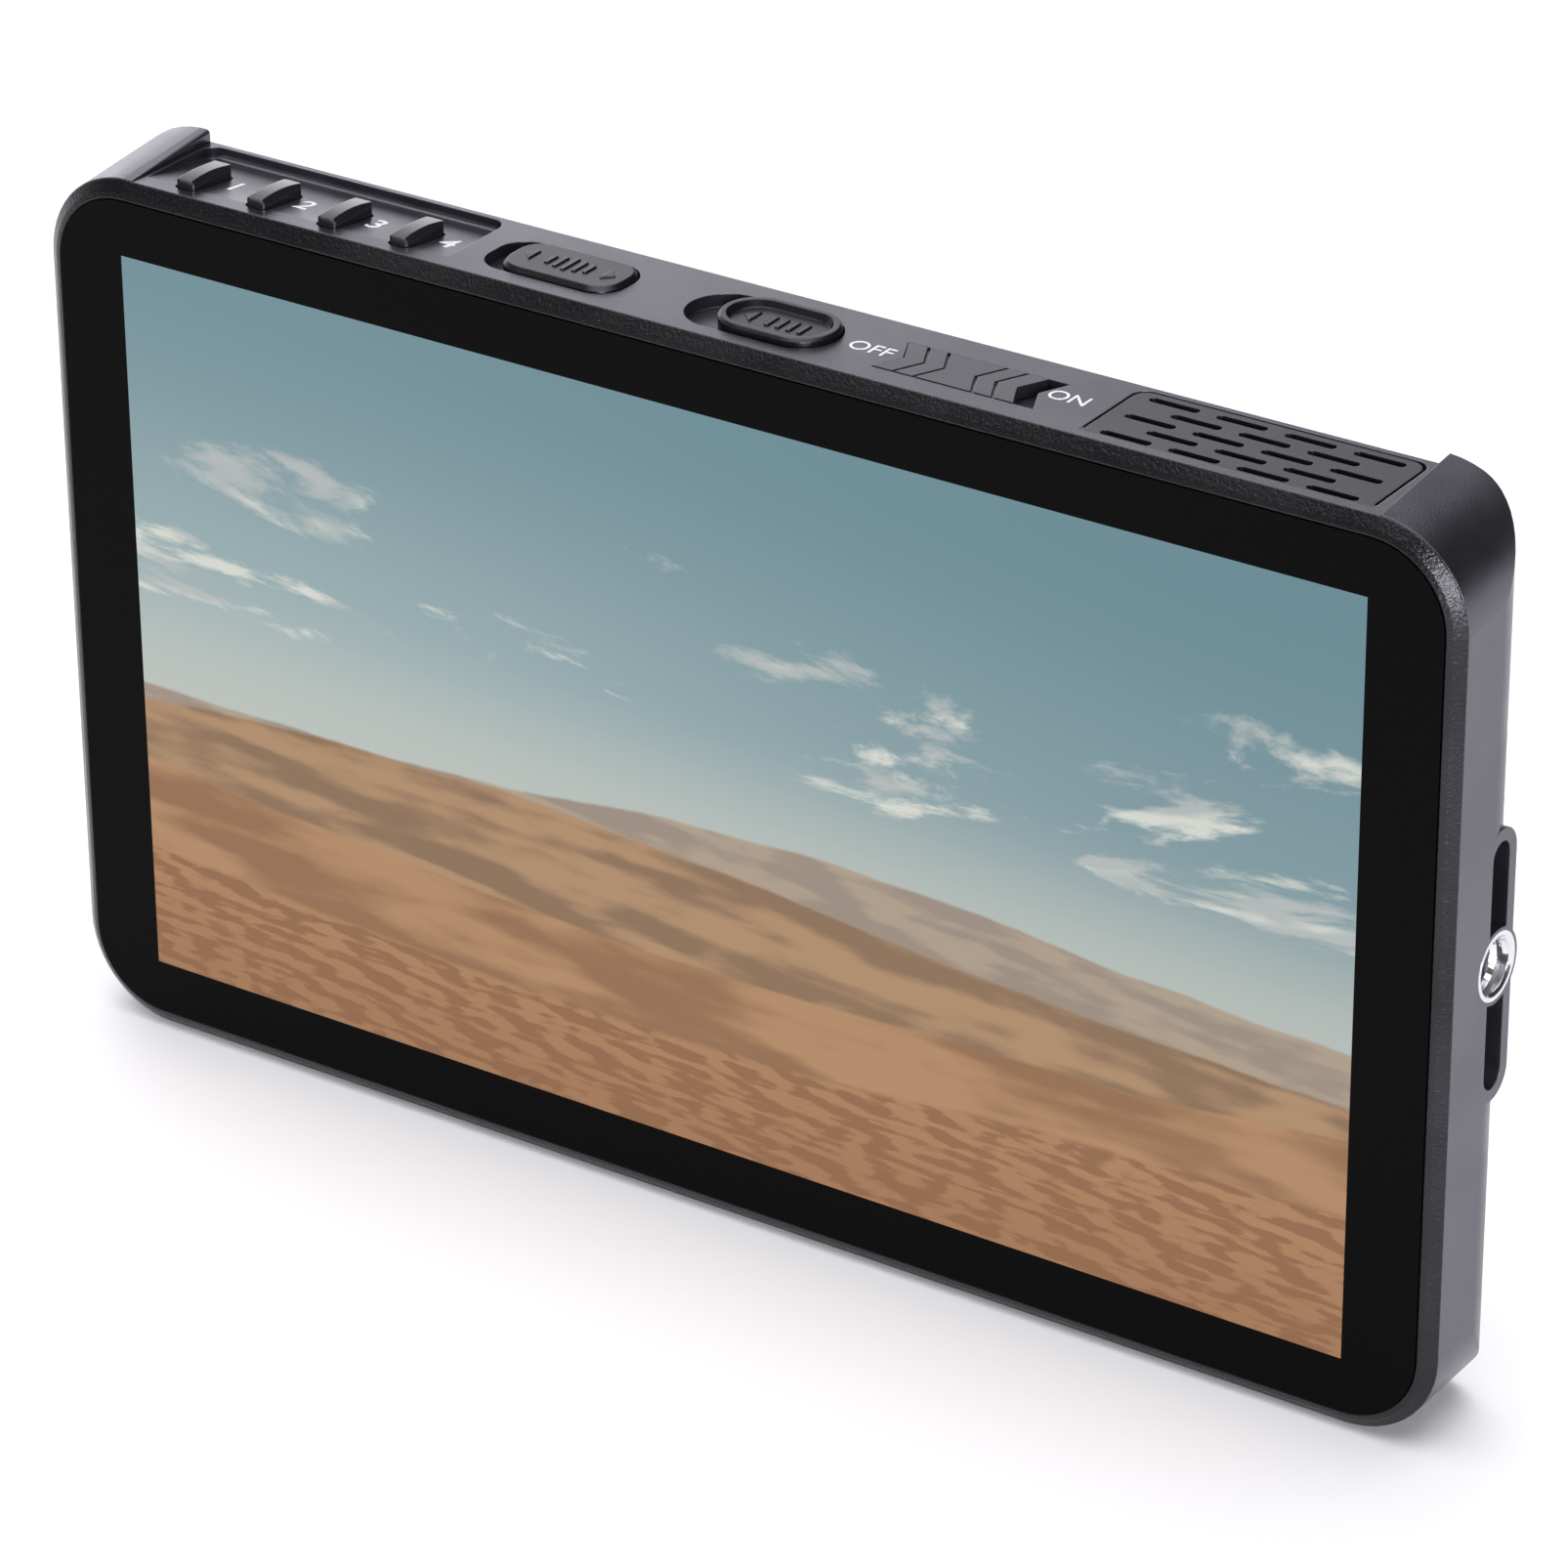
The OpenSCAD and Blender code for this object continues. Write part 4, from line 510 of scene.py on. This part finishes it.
def add_grips():
    shapes = []
    x = (touch_low.x + touch_high.x) / 2
    for k in range(TOUCH_RIBS):
        step = k - TOUCH_RIBS // 2
        half_length = TOUCH_RIB_HALF - TOUCH_RIB_FALL * abs(step)
        shapes.append(rib(x + step * TOUCH_RIB_PITCH, POCKET_Y, half_length, touch_high.z))
    for way in (-1, 1):
        place = x + way * TOUCH_ARROW_X
        shapes.append(arrowhead(place, POCKET_Y, TOUCH_ARROW, way, touch_high.z))
    add_mesh("touch_grip", *joined(shapes), "touch_slider", "slider_plastic")
    x = (release_low.x + release_high.x) / 2
    floor = release_high.z - DISH_DEPTH
    shapes = [arrowhead(x - DISH_ARROW_X, POCKET_Y, DISH_ARROW, -1, floor)]
    for k in range(DISH_RIBS):
        place = x + k * DISH_RIB_PITCH - DISH_RIB_START
        shapes.append(rib(place, POCKET_Y, DISH_RIB_HALF, floor))
    add_mesh("release_grip", *joined(shapes), "release_slider", "slider_plastic")


# The left corner shell's inner lip, which reaches towards the key recess
STEP_X = -66.75 * MM
LIP_X = -65.6 * MM
LIP_ROUND = 0.4 * MM
LIP_START = 0.07 * MM
LIP_DEPTH = 11.75 * MM
LIP_SINK = 0.05 * MM
LIP_STEPS = 6


def add_shell_lip():
    low = DECK_Z - LIP_SINK
    ends = ((housing_low.y, DECK_Z + LIP_START), (housing_low.y + LIP_DEPTH, housing_high.z))
    points = []
    for y, top in ends:
        size = min(LIP_ROUND, top - DECK_Z)
        points += [(STEP_X, y, low), (LIP_X, y, low)]
        for k in range(LIP_STEPS + 1):
            angle = math.pi / 2 * k / LIP_STEPS
            points.append((LIP_X - size + size * math.cos(angle), y,
                           top - size + size * math.sin(angle)))
        points.append((STEP_X, y, top))
    n = len(points) // 2
    faces = [tuple(range(n)), tuple(range(n, 2 * n))[::-1]]
    faces += [(i, n + i, n + (i + 1) % n, (i + 1) % n) for i in range(n)]
    fix_normals(add_mesh("shell_lip", points, faces, "monitor", "housing_plastic"))


# Screw threads in the two inserts; an axis is its place in x, y, z
X_AXIS = 0
Z_AXIS = 2
SIDE_THREAD_LENGTH = 6 * MM
BOTTOM_THREAD_LENGTH = 3.8 * MM
THREAD_MOUTH = 0.7 * MM
THREAD_HALF = 0.45
THREAD_R = 2.6 * MM
THREAD_PITCH = 1.27 * MM
THREAD_DEPTH = 0.3 * MM
THREAD_SINK = 0.02 * MM
THREAD_STEPS = 28


def add_thread(name, node, length, axis, way):
    """A helical ridge on the bore's wall; way is 1 or -1, the way in from the mouth."""
    low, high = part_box(node)
    middle = (low + high) / 2
    mouth = high[axis] if way < 0 else low[axis]
    side = [k for k in range(3) if k != axis]
    count = int(length / THREAD_PITCH * THREAD_STEPS)
    points = []
    for k in range(count + 1):
        angle = 2 * math.pi * k / THREAD_STEPS
        depth = THREAD_MOUTH + k * THREAD_PITCH / THREAD_STEPS
        for shift, radius in ((-THREAD_HALF, THREAD_R + THREAD_SINK),
                              (THREAD_HALF, THREAD_R + THREAD_SINK),
                              (0.0, THREAD_R - THREAD_DEPTH)):
            point = [0.0, 0.0, 0.0]
            point[axis] = mouth + way * (depth + shift * THREAD_PITCH)
            point[side[0]] = middle[side[0]] + radius * math.cos(angle)
            point[side[1]] = middle[side[1]] + radius * math.sin(angle)
            points.append(tuple(point))
    faces = [(0, 1, 2), (3 * count + 2, 3 * count + 1, 3 * count)]
    for k in range(count):
        for j in range(3):
            a, b = 3 * k + j, 3 * k + (j + 1) % 3
            faces.append((a, a + 3, b + 3, b))
    fix_normals(add_mesh(name, points, faces, "monitor", "steel_bright"))


def fix_normals(piece):
    mesh = bmesh.new()
    mesh.from_mesh(piece.data)
    bmesh.ops.recalc_face_normals(mesh, faces=mesh.faces)
    mesh.to_mesh(piece.data)
    mesh.free()


# Cross recesses in the battery plate's screws, which stand for the plain CAD screws
DRIVE_ARM = 0.85 * MM
DRIVE_HALF_W = 0.18 * MM
DRIVE_DEPTH = 0.35 * MM
DRIVE_CLEAR = 0.1 * MM


def islands(piece):
    """The middle of each separate solid in a node's mesh."""
    mesh = bmesh.new()
    mesh.from_mesh(piece.data)
    bmesh.ops.remove_doubles(mesh, verts=mesh.verts, dist=1e-6)
    middles = []
    left = set(mesh.verts)
    while left:
        todo = [left.pop()]
        seen = list(todo)
        while todo:
            vert = todo.pop()
            for edge in vert.link_edges:
                other = edge.other_vert(vert)
                if other in left:
                    left.remove(other)
                    todo.append(other)
                    seen.append(other)
        middles.append(sum((v.co for v in seen), Vector()) / len(seen))
    mesh.free()
    return sorted(middles, key=lambda c: (round(c.x, 4), round(c.z, 4)))


def block(middle, half_x, half_z, y0, y1):
    """Points and faces of a block round a middle in x and z, from y0 to y1."""
    points = []
    for y in (y0, y1):
        points += [(middle.x - half_x, y, middle.z - half_z),
                   (middle.x + half_x, y, middle.z - half_z),
                   (middle.x + half_x, y, middle.z + half_z),
                   (middle.x - half_x, y, middle.z + half_z)]
    faces = [(0, 1, 2, 3), (7, 6, 5, 4), (0, 4, 5, 1), (1, 5, 6, 2), (2, 6, 7, 3), (3, 7, 4, 0)]
    return points, faces


def add_drives(node, body):
    """Copies the screws and cuts a cross into each head, which faces the back."""
    screws = frame["nodes"][node]
    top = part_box(node)[1].y
    piece = bpy.data.objects.new(node + "_driven", screws.data.copy())
    bpy.context.scene.collection.objects.link(piece)
    weld(piece)
    for middle in islands(screws):
        for half_x, half_z in ((DRIVE_ARM, DRIVE_HALF_W), (DRIVE_HALF_W, DRIVE_ARM)):
            arm = block(middle, half_x, half_z, top - DRIVE_DEPTH, top + DRIVE_CLEAR)
            cut(piece, *arm)
    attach(piece, body)
    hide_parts(node)


def weld(piece):
    mesh = bmesh.new()
    mesh.from_mesh(piece.data)
    bmesh.ops.remove_doubles(mesh, verts=mesh.verts, dist=1e-7)
    mesh.to_mesh(piece.data)
    mesh.free()


def cut(piece, points, faces):
    """Cuts a convex block out of a piece and applies the result to its mesh."""
    data = bpy.data.meshes.new("cutter")
    data.from_pydata(points, [], faces)
    cutter = bpy.data.objects.new("cutter", data)
    bpy.context.scene.collection.objects.link(cutter)
    fix_normals(cutter)
    change = piece.modifiers.new("cut", "BOOLEAN")
    change.operation = "DIFFERENCE"
    change.solver = "EXACT"
    change.object = cutter
    bpy.context.view_layer.update()
    seen = piece.evaluated_get(bpy.context.evaluated_depsgraph_get())
    made = bpy.data.meshes.new_from_object(seen)
    piece.modifiers.clear()
    piece.data = made
    bpy.data.objects.remove(cutter)


# Printed marks on the deck

PRINT_HALF = 0.01 * MM


def add_mark(name, text, place, size_mm, weight=0.0, tilt=0.0):
    """Flat printed lettering that lies on the deck and reads from the front."""
    data = bpy.data.curves.new(name, "FONT")
    data.body = text
    data.size = size_mm * MM
    data.align_x = "CENTER"
    data.align_y = "CENTER"
    data.extrude = PRINT_HALF
    data.offset = weight * size_mm * MM
    mark = bpy.data.objects.new(name, data)
    bpy.context.scene.collection.objects.link(mark)
    mark.location = place
    mark.rotation_euler = (tilt, 0, 0)
    mark.data.materials.append(PRINT)
    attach(mark, "monitor")


PRINT = printed()
PRINT_LIFT = 0.015 * MM
RECESS_START_Y = housing_low.y + 1.75 * MM
RECESS_SLOPE = math.atan2(1.1, 8.9)
KEY_COUNT = 4
KEY_MARK_SIZE = 3.5
KEY_MARK_WEIGHT = 0.008
KEY_MARK_X = 3.0 * MM
KEY_MARK_Y = housing_low.y + 5.0 * MM
SWITCH_MARK_SIZE = 2.6
OFF_MARK_X = -9.3 * MM
ON_MARK_X = 10.7 * MM
ON_MARK_Y = 0.5 * MM


def add_marks():
    drop = (KEY_MARK_Y - RECESS_START_Y) * math.tan(RECESS_SLOPE)
    for i in range(KEY_COUNT):
        low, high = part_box(f"key_{i + 1}")
        place = ((low.x + high.x) / 2 + KEY_MARK_X, KEY_MARK_Y, DECK_Z - drop + PRINT_LIFT)
        add_mark(f"mark_{i + 1}", str(i + 1), place, KEY_MARK_SIZE, KEY_MARK_WEIGHT,
                 -RECESS_SLOPE)
    x = (power_low.x + power_high.x) / 2
    y = (power_low.y + power_high.y) / 2
    z = DECK_Z + PRINT_LIFT
    add_mark("mark_off", "OFF", (x + OFF_MARK_X, y, z), SWITCH_MARK_SIZE)
    add_mark("mark_on", "ON", (x + ON_MARK_X, y + ON_MARK_Y, z), SWITCH_MARK_SIZE)


add_camera()
add_world()
add_floor()
dress_nodes()
add_marks()
add_grips()
add_shell_lip()
add_thread("side_thread", "side_insert", SIDE_THREAD_LENGTH, X_AXIS, -1)
add_thread("bottom_thread", "bottom_insert", BOTTOM_THREAD_LENGTH, Z_AXIS, 1)
add_drives("plate_screws", "monitor")
